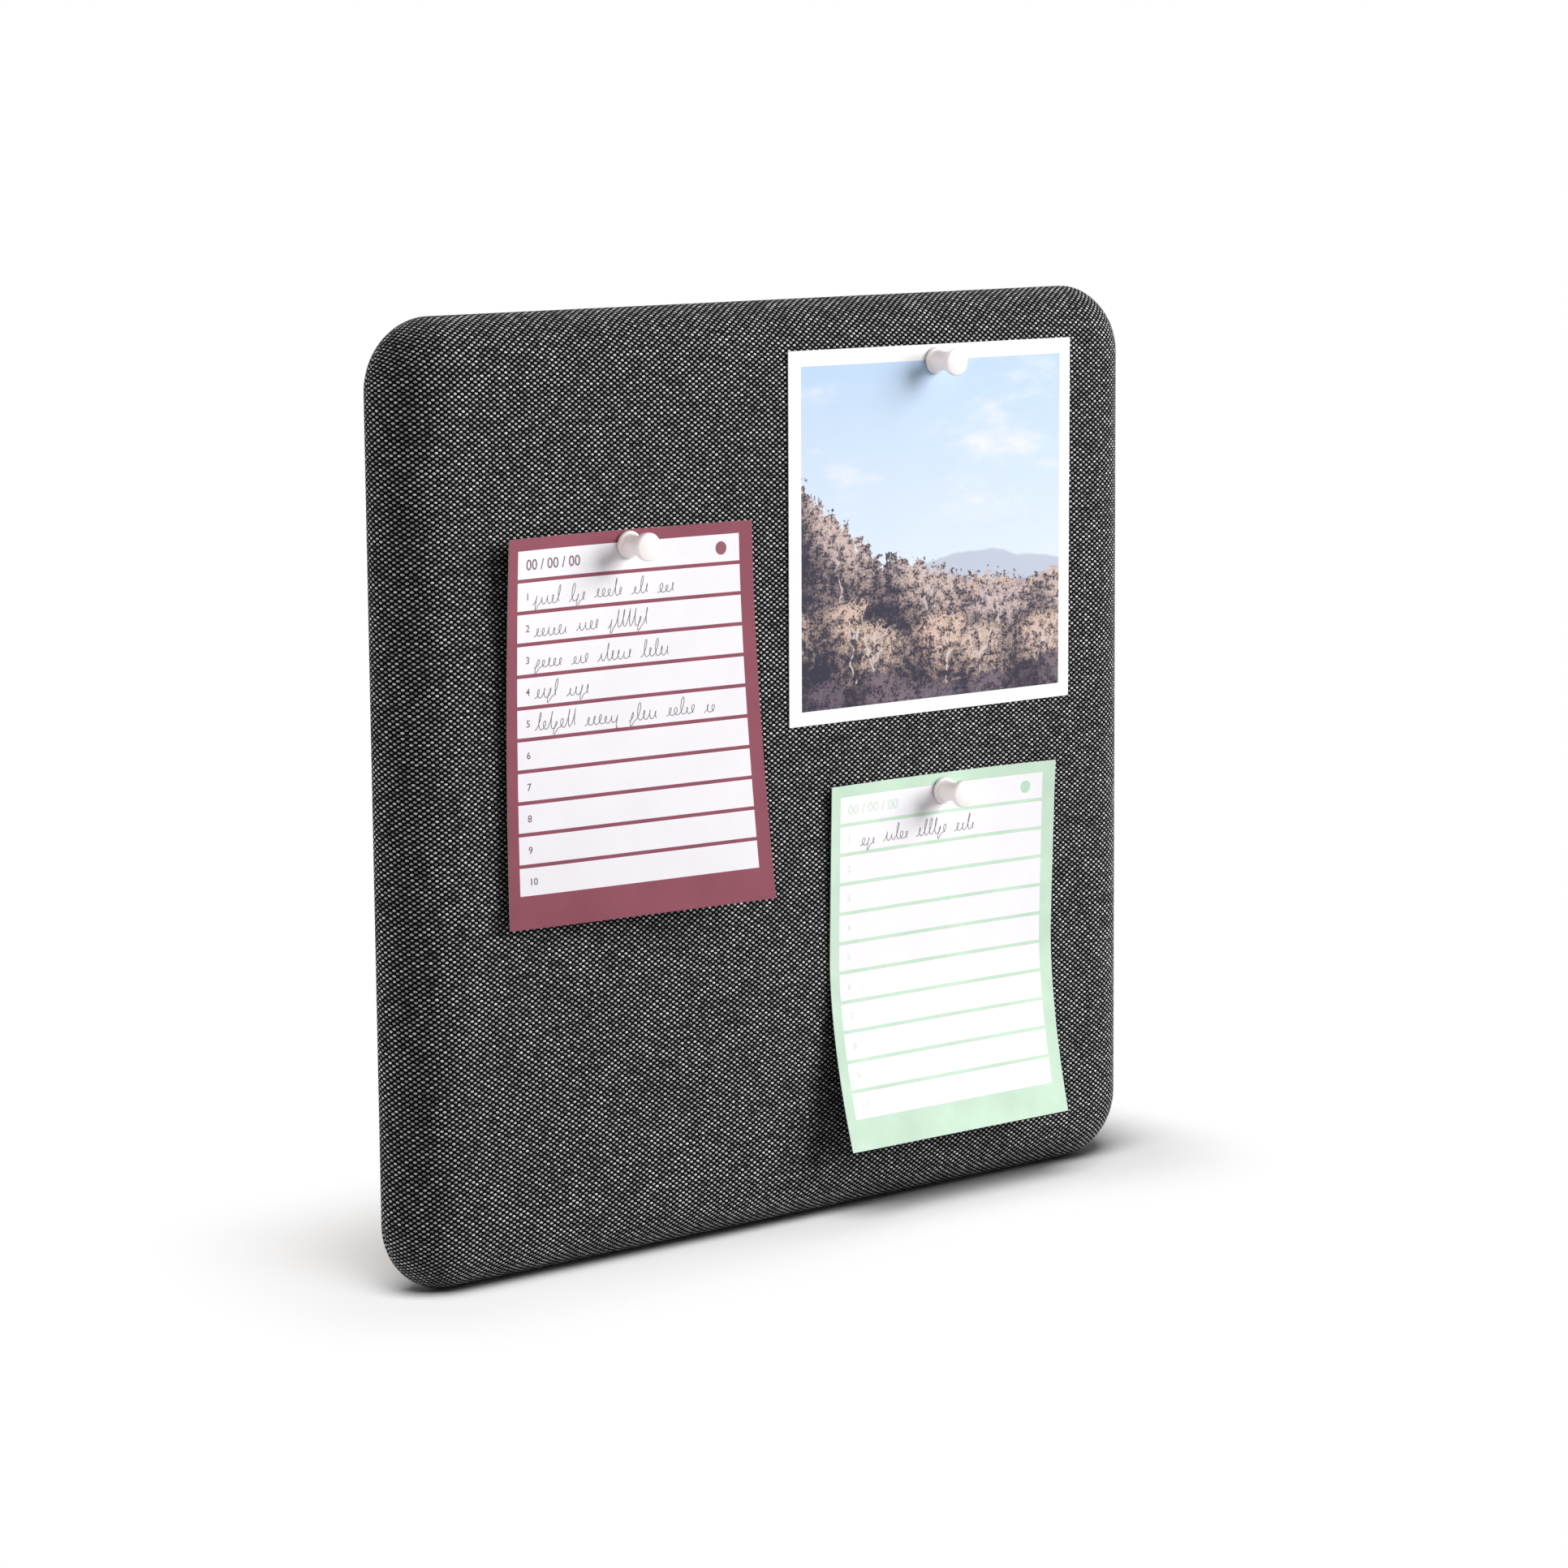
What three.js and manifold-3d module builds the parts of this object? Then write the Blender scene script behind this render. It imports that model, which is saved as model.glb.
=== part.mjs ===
// Fabric pin board with two note sheets, a photo print and three push pins.
// X runs to the right as seen from the front, Z runs up and the front faces -Y.
// The origin is the middle of the back panel's outer face, which lies against the wall.

import * as THREE from 'three';
import { mergeVertices } from 'three/addons/utils/BufferGeometryUtils.js';
import Module from 'manifold-3d';

const wasm = await Module();
wasm.setup();

// Board outline and the rounded edge, which turns from the flat front to the flat back in three arcs
const BOARD_WIDTH = 317.5;
const BOARD_HEIGHT = 317.5;
const CORNER_RADIUS = 23.8;
const CROWN_RADIUS = 38;
const CROWN_TURN = THREE.MathUtils.degToRad(14);
const SHOULDER_RADIUS = 19;
const SHOULDER_END = THREE.MathUtils.degToRad(71);
const EDGE_RADIUS = 6.4;
const SIDE_FLAT = 0.4;
const SMALLEST_ROUND = 0.5;

// Layers, from the front to the back
const COVER_THICKNESS = 1.0;
const PAD_THICKNESS = 3.0;
const CORE_THICKNESS = 8.0;
const FIT_GAP = 0.3;
const SEAT_GAP = 0.1;
const OVERRUN = 2.0;

// Frame behind the core, and the panel that closes it
const HEM_INSET = 22;
const PAD_STOP = 3;
const RAIL_INSET = 46;
const REBATE_WIDTH = 6;
const PANEL_THICKNESS = 3;
const PANEL_CORNER_RADIUS = 2;
const MITRE_GAP = 0.3;

// Staples that hold the hem
const STAPLE_INSET = 14;
const STAPLE_SHARES = [-0.36, -0.12, 0.12, 0.36];
const STAPLE_CROWN = 10;
const STAPLE_WIRE_WIDTH = 0.9;
const STAPLE_WIRE_THICKNESS = 0.6;
const STAPLE_LEG = 5;
const STAPLE_BEND = 0.45;
const STAPLE_CLEARANCE = 0.15;

// Keyhole hangers
const HANGER_WIDTH = 14;
const HANGER_LENGTH = 44;
const HANGER_THICKNESS = 1.4;
const HANGER_HEM_GAP = 1;
const HANGER_DROP = 58.75;
const EYE_RADIUS = 5;
const NECK_WIDTH = 5;
const NECK_LENGTH = 13;
const EYE_DROP = 5;
const POCKET_MARGIN = 1;
const POCKET_DEPTH = 5;
const HANGER_SCREW_INSET = 5;

// Countersunk screws, sunk a seat gap below the face of what they hold
const SCREW_HEAD_RADIUS = 2.8;
const SCREW_HEAD_HEIGHT = 1.4;
const SCREW_SHANK_RADIUS = 1.3;
const SCREW_LENGTH = 7;
const SCREW_CLEARANCE = 0.2;
const SCREW_CROSS_LENGTH = 3.2;
const SCREW_CROSS_WIDTH = 0.8;
const SCREW_CROSS_DEPTH = 0.7;

// Bumpers
const BUMPER_RADIUS = 5;
const BUMPER_HEIGHT = 2.5;
const BUMPER_ROUND = 1;
const BUMPER_INSET = 17.5;

// Push pins: a plastic spool with a steel needle moulded into it
const PIN_BASE_RADIUS = 4.6;
const PIN_HEAD_RADIUS = 4.7;
const PIN_WAIST_RADIUS = 3.3;
const PIN_LENGTH = 12.2;
const PIN_BASE_RIM = 0.9;
const PIN_HEAD_RIM = 1.9;
const PIN_RIM_ROUND = 0.6;
const PIN_HEAD_DOME = 0.5;
const PIN_WAIST_SHARE = 0.44;
const NEEDLE_RADIUS = 0.6;
const NEEDLE_LENGTH = 10.5;
const NEEDLE_TIP = 2.4;
const NEEDLE_SOCKET = 5;
const NEEDLE_CLEARANCE = 0.3;

// Sheets: places of the pins from the board's middle and top, sheet sizes
// and how far the corners stand off the cover
const SHEET_COLUMNS = 8;
const SHEET_ROWS = 12;
const PRINT_STEPS = 2;
const MAROON_NOTE = {
  name: 'maroon_note_sheet', pinName: 'push_pin_left', colour: 0x96586a, pinX: -69.4, pinDrop: 76.35,
  width: 101.6, height: 127, thickness: 0.3, pinAcross: 50.3, pinDown: 4.9, turn: 0.4,
  columns: SHEET_COLUMNS, rows: SHEET_ROWS,
  topLeft: 4.6, topRight: 0.8, bottomLeft: 2.7, bottomRight: 13.6, curlStartShare: 0.0, curlPower: 1.6,
};
const MINT_NOTE = {
  name: 'mint_note_sheet', pinName: 'push_pin_lower', colour: 0xcdecd2, pinX: 66, pinDrop: 172.25,
  width: 101.6, height: 127, thickness: 0.3, pinAcross: 51.2, pinDown: 6.1, turn: 0.4,
  columns: SHEET_COLUMNS, rows: SHEET_ROWS,
  topLeft: 1.6, topRight: 3, bottomLeft: 13, bottomRight: 10.8, curlStartShare: 0.48, curlPower: 1.6,
};
const PHOTO_PRINT = {
  name: 'photo_print', pinName: 'push_pin_upper', colour: 0xb9d4e8, pinX: 62.9, pinDrop: 22.45,
  width: 127.2, height: 127.2, thickness: 0.35, pinAcross: 64.6, pinDown: 5.6, turn: 0.3,
  columns: PRINT_STEPS, rows: PRINT_STEPS,
  topLeft: 0, topRight: 0, bottomLeft: 0, bottomRight: 0, curlStartShare: 0.0, curlPower: 2,
};
const SHEETS = [MAROON_NOTE, MINT_NOTE, PHOTO_PRINT];
const CORNER_CURL_POWER = 2;

// Facet counts
const CORNER_STEPS = 7;
const CROWN_STEPS = 2;
const SHOULDER_STEPS = 6;
const EDGE_STEPS = 2;
const BACK_STEPS = 4;
const PIN_STEPS = 18;
const ROUND_STEPS = 16;
const HOLE_STEPS = 10;
const CURVE_STEPS = 4;

// Values worked out from the sizes above
const PAD_OFFSET = COVER_THICKNESS + FIT_GAP;
const PAD_INNER_OFFSET = PAD_OFFSET + PAD_THICKNESS;
const CORE_OFFSET = PAD_INNER_OFFSET + FIT_GAP;
const BACK_FACE = -(COVER_THICKNESS + FIT_GAP);
const EDGE_ARC = arcCentres();
const DEPTH = CROWN_RADIUS - EDGE_ARC.crown.y;
const CORE_BACK = -DEPTH + CORE_OFFSET + CORE_THICKNESS;
const RAIL_FRONT = CORE_BACK + FIT_GAP;
const REBATE_FACE = -(PANEL_THICKNESS + SEAT_GAP);
const PANEL_INSET = RAIL_INSET - REBATE_WIDTH + FIT_GAP;
const HANGER_X = BOARD_WIDTH / 2 - (HEM_INSET + HANGER_HEM_GAP + HANGER_WIDTH / 2);
const HANGER_Z = BOARD_HEIGHT / 2 - HANGER_DROP;
const HANGER_FACE = BACK_FACE + SEAT_GAP + HANGER_THICKNESS;

const MATERIALS = {
  cover: { color: 0x3a3a3c, roughness: 0.95, metalness: 0 },
  pad: { color: 0xe6e2d6, roughness: 1, metalness: 0 },
  core: { color: 0xb49a72, roughness: 0.95, metalness: 0 },
  rail: { color: 0xc9ab7c, roughness: 0.8, metalness: 0 },
  panel: { color: 0x6e5238, roughness: 0.75, metalness: 0 },
  steel: { color: 0xb8bcc0, roughness: 0.35, metalness: 1 },
  rubber: { color: 0x1d1d1e, roughness: 0.9, metalness: 0 },
  plastic: { color: 0xefe4e2, roughness: 0.35, metalness: 0 },
};

// Solids and meshes

function toSolid(geometry) {
  const bare = geometry.clone();
  bare.deleteAttribute('normal');
  bare.deleteAttribute('uv');
  const merged = mergeVertices(bare);
  const kept = [];
  const index = merged.index.array;
  for (let i = 0; i < index.length; i += 3) {
    const [a, b, c] = [index[i], index[i + 1], index[i + 2]];
    if (a !== b && b !== c && c !== a) kept.push(a, b, c);
  }
  const vertProperties = new Float32Array(merged.attributes.position.array);
  return new wasm.Manifold(new wasm.Mesh({ numProp: 3, vertProperties, triVerts: new Uint32Array(kept) }));
}

function toGeometry(solid) {
  const mesh = solid.getMesh();
  const geometry = new THREE.BufferGeometry();
  geometry.setAttribute('position', new THREE.BufferAttribute(new Float32Array(mesh.vertProperties), 3));
  geometry.setIndex(new THREE.BufferAttribute(new Uint32Array(mesh.triVerts), 1));
  geometry.computeVertexNormals();
  return geometry;
}

function namedMesh(name, solid, finish, parent) {
  const mesh = new THREE.Mesh(toGeometry(solid), new THREE.MeshStandardMaterial(finish));
  mesh.name = name;
  parent.add(mesh);
  return mesh;
}

function without(solid, cutters) {
  return cutters.reduce((rest, cutter) => rest.subtract(cutter), solid);
}

// A box between two corners
function boxBetween(low, high) {
  const geometry = new THREE.BoxGeometry(high[0] - low[0], high[1] - low[1], high[2] - low[2]);
  geometry.translate((low[0] + high[0]) / 2, (low[1] + high[1]) / 2, (low[2] + high[2]) / 2);
  return toSolid(geometry);
}

// A cylinder along Y, from one depth to another
function borer(radius, x, z, fromY, toY) {
  const geometry = new THREE.CylinderGeometry(radius, radius, toY - fromY, HOLE_STEPS);
  geometry.translate(x, (fromY + toY) / 2, z);
  return toSolid(geometry);
}

// A flat shape drawn in X and Z, made solid from one depth to another
function plate(shape, fromY, toY) {
  const geometry = new THREE.ExtrudeGeometry(shape, {
    depth: toY - fromY,
    bevelEnabled: false,
    curveSegments: CURVE_STEPS,
  });
  geometry.rotateX(Math.PI / 2);
  geometry.translate(0, toY, 0);
  return toSolid(geometry);
}

// The rounded edge

// Each arc's centre, given as a distance in from the board's side and a depth
function arcCentres() {
  const edge = { inset: EDGE_RADIUS, y: -(EDGE_RADIUS + SIDE_FLAT) };
  const shoulder = stepAlongNormal(edge, SHOULDER_RADIUS - EDGE_RADIUS, SHOULDER_END);
  const crown = stepAlongNormal(shoulder, CROWN_RADIUS - SHOULDER_RADIUS, CROWN_TURN);
  return { edge, shoulder, crown };
}

// Moves a point inwards along the edge's normal, which turns from the front at zero to the side at 90 degrees
function stepAlongNormal(point, distance, turn) {
  return { inset: point.inset + distance * Math.sin(turn), y: point.y + distance * Math.cos(turn) };
}

// Points of one arc of the edge, from one turn of its normal to another
function arcPoints(centre, radius, from, to, steps) {
  const points = [];
  for (let step = 0; step <= steps; step += 1) {
    points.push(stepAlongNormal(centre, -radius, from + ((to - from) * step) / steps));
  }
  return points;
}

// The edge's section, moved in by an offset, with its back face a setback in front of the wall
function edgeSection(offset, setback) {
  const backRadius = EDGE_RADIUS - offset;
  const backCentre = { inset: EDGE_RADIUS, y: -(setback + backRadius) };
  const quarter = Math.PI / 2;
  return [
    ...arcPoints(EDGE_ARC.crown, CROWN_RADIUS - offset, 0, CROWN_TURN, CROWN_STEPS),
    ...arcPoints(
      EDGE_ARC.shoulder, SHOULDER_RADIUS - offset, CROWN_TURN, SHOULDER_END, SHOULDER_STEPS,
    ).slice(1),
    ...arcPoints(EDGE_ARC.edge, backRadius, SHOULDER_END, quarter, EDGE_STEPS).slice(1),
    ...arcPoints(backCentre, backRadius, quarter, quarter * 2, BACK_STEPS),
  ];
}

// The board's rounded rectangle at a distance in from its sides, as a ring of points at one depth
function outlineRing(inset, y) {
  const radius = Math.max(CORNER_RADIUS - inset, SMALLEST_ROUND);
  const centreX = BOARD_WIDTH / 2 - inset - radius;
  const centreZ = BOARD_HEIGHT / 2 - inset - radius;
  const ring = [];
  for (let corner = 0; corner < 4; corner += 1) {
    const sideX = corner === 0 || corner === 3 ? 1 : -1;
    const sideZ = corner < 2 ? 1 : -1;
    for (let step = 0; step <= CORNER_STEPS; step += 1) {
      const turn = (Math.PI / 2) * (corner + step / CORNER_STEPS);
      const x = sideX * centreX + radius * Math.cos(turn);
      const z = sideZ * centreZ + radius * Math.sin(turn);
      ring.push(new THREE.Vector3(x, y, z));
    }
  }
  return ring;
}

// A closed skin over a run of rings, with a flat face on the first and on the last
function loft(rings) {
  const count = rings[0].length;
  const points = rings.flat();
  const index = [];
  for (let level = 0; level < rings.length - 1; level += 1) {
    for (let side = 0; side < count; side += 1) {
      const next = (side + 1) % count;
      const [a, b] = [level * count + side, level * count + next];
      const [c, d] = [a + count, b + count];
      index.push(a, c, b, b, c, d);
    }
  }
  for (const [level, flip] of [[0, false], [rings.length - 1, true]]) {
    const middle = rings[level].reduce((sum, point) => sum.add(point), new THREE.Vector3());
    points.push(middle.divideScalar(count));
    for (let side = 0; side < count; side += 1) {
      const [a, b] = [level * count + side, level * count + ((side + 1) % count)];
      index.push(...(flip ? [b, a, points.length - 1] : [a, b, points.length - 1]));
    }
  }
  const geometry = new THREE.BufferGeometry().setFromPoints(points);
  geometry.setIndex(index);
  return geometry;
}

// The whole board as one rounded slab, moved in by an offset
function slab(offset, setback) {
  return toSolid(loft(edgeSection(offset, setback).map(({ inset, y }) => outlineRing(inset, y))));
}

// Everything between two depths, wider than the board
function layer(fromY, toY) {
  const [x, z] = [BOARD_WIDTH / 2 + OVERRUN, BOARD_HEIGHT / 2 + OVERRUN];
  return boxBetween([-x, fromY, -z], [x, toY, z]);
}

// Everything that lies further in than an inset, between two depths
function window(inset, fromY, toY) {
  const [x, z] = [BOARD_WIDTH / 2 - inset, BOARD_HEIGHT / 2 - inset];
  return boxBetween([-x, fromY, -z], [x, toY, z]);
}

// Holes that the needles and the staple legs pass through

function pinHeight(sheet) {
  return BOARD_HEIGHT / 2 - sheet.pinDrop;
}

function needleHoles() {
  const tip = -DEPTH - PHOTO_PRINT.thickness + NEEDLE_LENGTH + NEEDLE_CLEARANCE;
  return SHEETS.map((sheet) => {
    return borer(NEEDLE_RADIUS + NEEDLE_CLEARANCE, sheet.pinX, pinHeight(sheet), -DEPTH - OVERRUN, tip);
  });
}

// Each staple's middle, and whether it lies along Z
function stapleSeats() {
  const seats = [];
  for (const side of [-1, 1]) {
    for (const share of STAPLE_SHARES) {
      seats.push({ x: share * BOARD_WIDTH, z: side * (BOARD_HEIGHT / 2 - STAPLE_INSET), upright: false });
      seats.push({ x: side * (BOARD_WIDTH / 2 - STAPLE_INSET), z: share * BOARD_HEIGHT, upright: true });
    }
  }
  return seats;
}

function stapleLegHoles() {
  const reach = (STAPLE_CROWN - STAPLE_WIRE_THICKNESS) / 2;
  const across = STAPLE_WIRE_WIDTH / 2 + STAPLE_CLEARANCE;
  const along = STAPLE_WIRE_THICKNESS / 2 + STAPLE_CLEARANCE;
  const holes = [];
  for (const { x, z, upright } of stapleSeats()) {
    for (const end of [-reach, reach]) {
      const middle = upright ? [x, z + end] : [x + end, z];
      const half = upright ? [across, along] : [along, across];
      holes.push(boxBetween(
        [middle[0] - half[0], -(STAPLE_LEG + STAPLE_CLEARANCE), middle[1] - half[1]],
        [middle[0] + half[0], OVERRUN, middle[1] + half[1]],
      ));
    }
  }
  return holes;
}

// Board layers

function fabricCover() {
  const shell = slab(0, 0).subtract(slab(COVER_THICKNESS, COVER_THICKNESS));
  const opening = window(HEM_INSET, -(COVER_THICKNESS + OVERRUN), OVERRUN);
  return without(shell, [opening, ...needleHoles(), ...stapleLegHoles()]);
}

function foamPad() {
  const shell = slab(PAD_OFFSET, PAD_OFFSET).subtract(slab(PAD_INNER_OFFSET, -OVERRUN));
  return without(shell, [layer(-PAD_STOP, OVERRUN), ...needleHoles()]);
}

function coreBoard() {
  const body = slab(CORE_OFFSET, -BACK_FACE);
  return without(body, [layer(CORE_BACK, OVERRUN), ...needleHoles()]);
}

// The four rails as one ring, before the mitres part them
function railRing(pockets) {
  const body = slab(CORE_OFFSET, -BACK_FACE);
  return without(body, [
    layer(-DEPTH, RAIL_FRONT),
    window(RAIL_INSET, RAIL_FRONT - OVERRUN, OVERRUN),
    window(RAIL_INSET - REBATE_WIDTH, REBATE_FACE, OVERRUN),
    ...pockets,
    ...stapleLegHoles(),
  ]);
}

// A wedge with its sides along the two mitres of one rail
function mitreWedge(half, otherHalf) {
  const reach = half + otherHalf;
  const apex = half - otherHalf + MITRE_GAP * Math.SQRT1_2;
  const shape = new THREE.Shape([
    new THREE.Vector2(0, apex),
    new THREE.Vector2(reach, apex + reach),
    new THREE.Vector2(-reach, apex + reach),
  ]);
  return plate(shape, -DEPTH, OVERRUN);
}

function frameRails(ring) {
  const [halfX, halfZ] = [BOARD_WIDTH / 2, BOARD_HEIGHT / 2];
  const upright = mitreWedge(halfZ, halfX);
  const sideways = mitreWedge(halfX, halfZ);
  return {
    frame_rail_top: ring.intersect(upright),
    frame_rail_bottom: ring.intersect(upright.rotate([0, 180, 0])),
    frame_rail_right: ring.intersect(sideways.rotate([0, 90, 0])),
    frame_rail_left: ring.intersect(sideways.rotate([0, -90, 0])),
  };
}

// A rectangle with rounded corners, about the origin
function roundedRectangle(width, height, radius) {
  const shape = new THREE.Shape();
  const [x, z] = [width / 2, height / 2];
  shape.absarc(x - radius, z - radius, radius, 0, Math.PI / 2);
  shape.absarc(radius - x, z - radius, radius, Math.PI / 2, Math.PI);
  shape.absarc(radius - x, radius - z, radius, Math.PI, Math.PI * 1.5);
  shape.absarc(x - radius, radius - z, radius, Math.PI * 1.5, Math.PI * 2);
  return shape;
}

function backPanel() {
  const [width, height] = [BOARD_WIDTH - 2 * PANEL_INSET, BOARD_HEIGHT - 2 * PANEL_INSET];
  const body = plate(roundedRectangle(width, height, PANEL_CORNER_RADIUS), -PANEL_THICKNESS, 0);
  return without(body, panelScrewPlaces().flatMap(({ x, z }) => screwSeat(x, z, 0)));
}

// Hangers, screws, staples and bumpers

// A keyhole about the eye's centre, grown by a margin, with its neck upwards
function keyhole(outline, margin) {
  const eye = EYE_RADIUS + margin;
  const neck = NECK_WIDTH / 2 + margin;
  const start = Math.acos(neck / eye);
  outline.absarc(0, 0, eye, Math.PI - start, start, false);
  outline.absarc(0, NECK_LENGTH, neck, 0, Math.PI, false);
  outline.closePath();
  return outline;
}

function hangerPlaces() {
  return [
    { side: 'left', x: -HANGER_X, z: HANGER_Z },
    { side: 'right', x: HANGER_X, z: HANGER_Z },
  ];
}

function hangerScrewPlaces({ x, z }) {
  const reach = HANGER_LENGTH / 2 - HANGER_SCREW_INSET;
  return [
    { end: 'upper', x, z: z + reach },
    { end: 'lower', x, z: z - reach },
  ];
}

function hangerPlate() {
  const shape = roundedRectangle(HANGER_WIDTH, HANGER_LENGTH, HANGER_WIDTH / 2);
  const hole = keyhole(new THREE.Shape(), 0);
  const cut = plate(hole, -OVERRUN, HANGER_THICKNESS + OVERRUN).translate([0, 0, -EYE_DROP]);
  const screws = hangerScrewPlaces({ x: 0, z: 0 }).flatMap(({ x, z }) => screwSeat(x, z, HANGER_THICKNESS));
  return without(plate(shape, 0, HANGER_THICKNESS), [cut, ...screws]);
}

// The pocket behind a hanger, where the nail's head slides
function hangerPocket({ x, z }) {
  const eye = EYE_RADIUS + POCKET_MARGIN;
  const shape = roundedRectangle(eye * 2, eye * 2 + NECK_LENGTH, eye);
  const pocket = plate(shape, BACK_FACE - POCKET_DEPTH, OVERRUN);
  return pocket.translate([x, 0, z - EYE_DROP + NECK_LENGTH / 2]);
}

function panelScrewPlaces() {
  const inset = RAIL_INSET - REBATE_WIDTH / 2;
  const [x, z] = [BOARD_WIDTH / 2 - inset, BOARD_HEIGHT / 2 - inset];
  return [
    { side: 'top', x: 0, z },
    { side: 'bottom', x: 0, z: -z },
    { side: 'left', x: -x, z: 0 },
    { side: 'right', x, z: 0 },
  ];
}

// A hole with a countersink, for a screw whose head is flush with a face
function screwSeat(x, z, face) {
  const bore = SCREW_SHANK_RADIUS + SCREW_CLEARANCE;
  const mouth = SCREW_HEAD_RADIUS + SCREW_CLEARANCE;
  const floor = face - SCREW_HEAD_HEIGHT - SCREW_CLEARANCE;
  const sink = new THREE.CylinderGeometry(mouth, bore, face - floor, HOLE_STEPS);
  sink.translate(x, (face + floor) / 2, z);
  return [
    borer(bore, x, z, face - SCREW_LENGTH - SCREW_CLEARANCE, face),
    toSolid(sink),
    borer(mouth, x, z, face, face + OVERRUN),
  ];
}

// A countersunk screw, from its head's face at zero depth to its tip
function screw() {
  const points = [
    new THREE.Vector2(0, -SCREW_LENGTH),
    new THREE.Vector2(SCREW_SHANK_RADIUS, SCREW_SHANK_RADIUS - SCREW_LENGTH),
    new THREE.Vector2(SCREW_SHANK_RADIUS, -SCREW_HEAD_HEIGHT),
    new THREE.Vector2(SCREW_HEAD_RADIUS, 0),
    new THREE.Vector2(0, 0),
  ];
  const body = toSolid(new THREE.LatheGeometry(points, HOLE_STEPS));
  const [long, wide] = [SCREW_CROSS_LENGTH / 2, SCREW_CROSS_WIDTH / 2];
  const cross = boxBetween([-long, -SCREW_CROSS_DEPTH, -wide], [long, OVERRUN, wide]);
  return without(body, [cross, cross.rotate([0, 90, 0])]);
}

// A staple with its crown along X, its legs pointing to the front and its crown's inner face at zero depth
function staple() {
  const [x, inner] = [STAPLE_CROWN / 2, STAPLE_CROWN / 2 - STAPLE_WIRE_THICKNESS];
  const top = STAPLE_WIRE_THICKNESS;
  const shape = new THREE.Shape();
  shape.moveTo(x, -STAPLE_LEG);
  shape.absarc(x - STAPLE_BEND, top - STAPLE_BEND, STAPLE_BEND, 0, Math.PI / 2);
  shape.absarc(STAPLE_BEND - x, top - STAPLE_BEND, STAPLE_BEND, Math.PI / 2, Math.PI);
  shape.lineTo(-x, -STAPLE_LEG);
  shape.lineTo(-inner, -STAPLE_LEG);
  shape.lineTo(-inner, 0);
  shape.lineTo(inner, 0);
  shape.lineTo(inner, -STAPLE_LEG);
  const geometry = new THREE.ExtrudeGeometry(shape, {
    depth: STAPLE_WIRE_WIDTH,
    bevelEnabled: false,
    curveSegments: CURVE_STEPS / 2,
  });
  geometry.translate(0, 0, -STAPLE_WIRE_WIDTH / 2);
  return toSolid(geometry);
}

function bumper() {
  const points = [new THREE.Vector2(0, 0), new THREE.Vector2(BUMPER_RADIUS, 0)];
  for (let step = 0; step <= CURVE_STEPS; step += 1) {
    const turn = (Math.PI / 2) * (step / CURVE_STEPS);
    const radius = BUMPER_RADIUS - BUMPER_ROUND * (1 - Math.cos(turn));
    points.push(new THREE.Vector2(radius, BUMPER_HEIGHT - BUMPER_ROUND * (1 - Math.sin(turn))));
  }
  points.push(new THREE.Vector2(0, BUMPER_HEIGHT));
  return toSolid(new THREE.LatheGeometry(points, ROUND_STEPS));
}

// Pins, whose own axis runs from the needle to the head along -Y

// A quarter round between two points, bulging outwards from the pin's rim
function rimRound(radius, height, from, to) {
  const points = [];
  const steps = CURVE_STEPS / 2;
  for (let step = 0; step <= steps; step += 1) {
    const turn = from + ((to - from) * step) / steps;
    const x = radius - PIN_RIM_ROUND * (1 - Math.cos(turn));
    points.push(new THREE.Vector2(x, height + PIN_RIM_ROUND * Math.sin(turn)));
  }
  return points;
}

function pinBody() {
  const bore = NEEDLE_RADIUS + NEEDLE_CLEARANCE / 2;
  const rimTop = PIN_LENGTH - PIN_HEAD_DOME;
  const neckStart = new THREE.Vector2(PIN_BASE_RADIUS - PIN_RIM_ROUND, PIN_BASE_RIM + PIN_RIM_ROUND);
  const neckEnd = new THREE.Vector2(PIN_HEAD_RADIUS - PIN_RIM_ROUND, rimTop - PIN_HEAD_RIM - PIN_RIM_ROUND);
  const waist = neckStart.y + (neckEnd.y - neckStart.y) * PIN_WAIST_SHARE;
  const lower = new THREE.CubicBezierCurve(
    neckStart,
    new THREE.Vector2((neckStart.x + PIN_WAIST_RADIUS) / 2, neckStart.y),
    new THREE.Vector2(PIN_WAIST_RADIUS, (neckStart.y + waist) / 2),
    new THREE.Vector2(PIN_WAIST_RADIUS, waist),
  );
  const upper = new THREE.CubicBezierCurve(
    new THREE.Vector2(PIN_WAIST_RADIUS, waist),
    new THREE.Vector2(PIN_WAIST_RADIUS, (neckEnd.y + waist) / 2),
    new THREE.Vector2((neckEnd.x + PIN_WAIST_RADIUS) / 2, neckEnd.y),
    neckEnd,
  );
  const points = [
    new THREE.Vector2(0, NEEDLE_SOCKET + NEEDLE_CLEARANCE),
    new THREE.Vector2(bore, NEEDLE_SOCKET + NEEDLE_CLEARANCE),
    new THREE.Vector2(bore, 0),
    new THREE.Vector2(PIN_BASE_RADIUS, 0),
    ...rimRound(PIN_BASE_RADIUS, PIN_BASE_RIM, 0, Math.PI / 2).slice(0, -1),
    ...lower.getPoints(CURVE_STEPS),
    ...upper.getPoints(CURVE_STEPS).slice(1),
    ...rimRound(PIN_HEAD_RADIUS, rimTop - PIN_HEAD_RIM, -Math.PI / 2, 0).slice(1),
    ...rimRound(PIN_HEAD_RADIUS, rimTop - PIN_RIM_ROUND, 0, Math.PI / 2),
    new THREE.Vector2(PIN_HEAD_RADIUS / 2, PIN_LENGTH - PIN_HEAD_DOME / 4),
    new THREE.Vector2(0, PIN_LENGTH),
  ];
  return toSolid(new THREE.LatheGeometry(points, PIN_STEPS)).rotate([180, 0, 0]);
}

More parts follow.
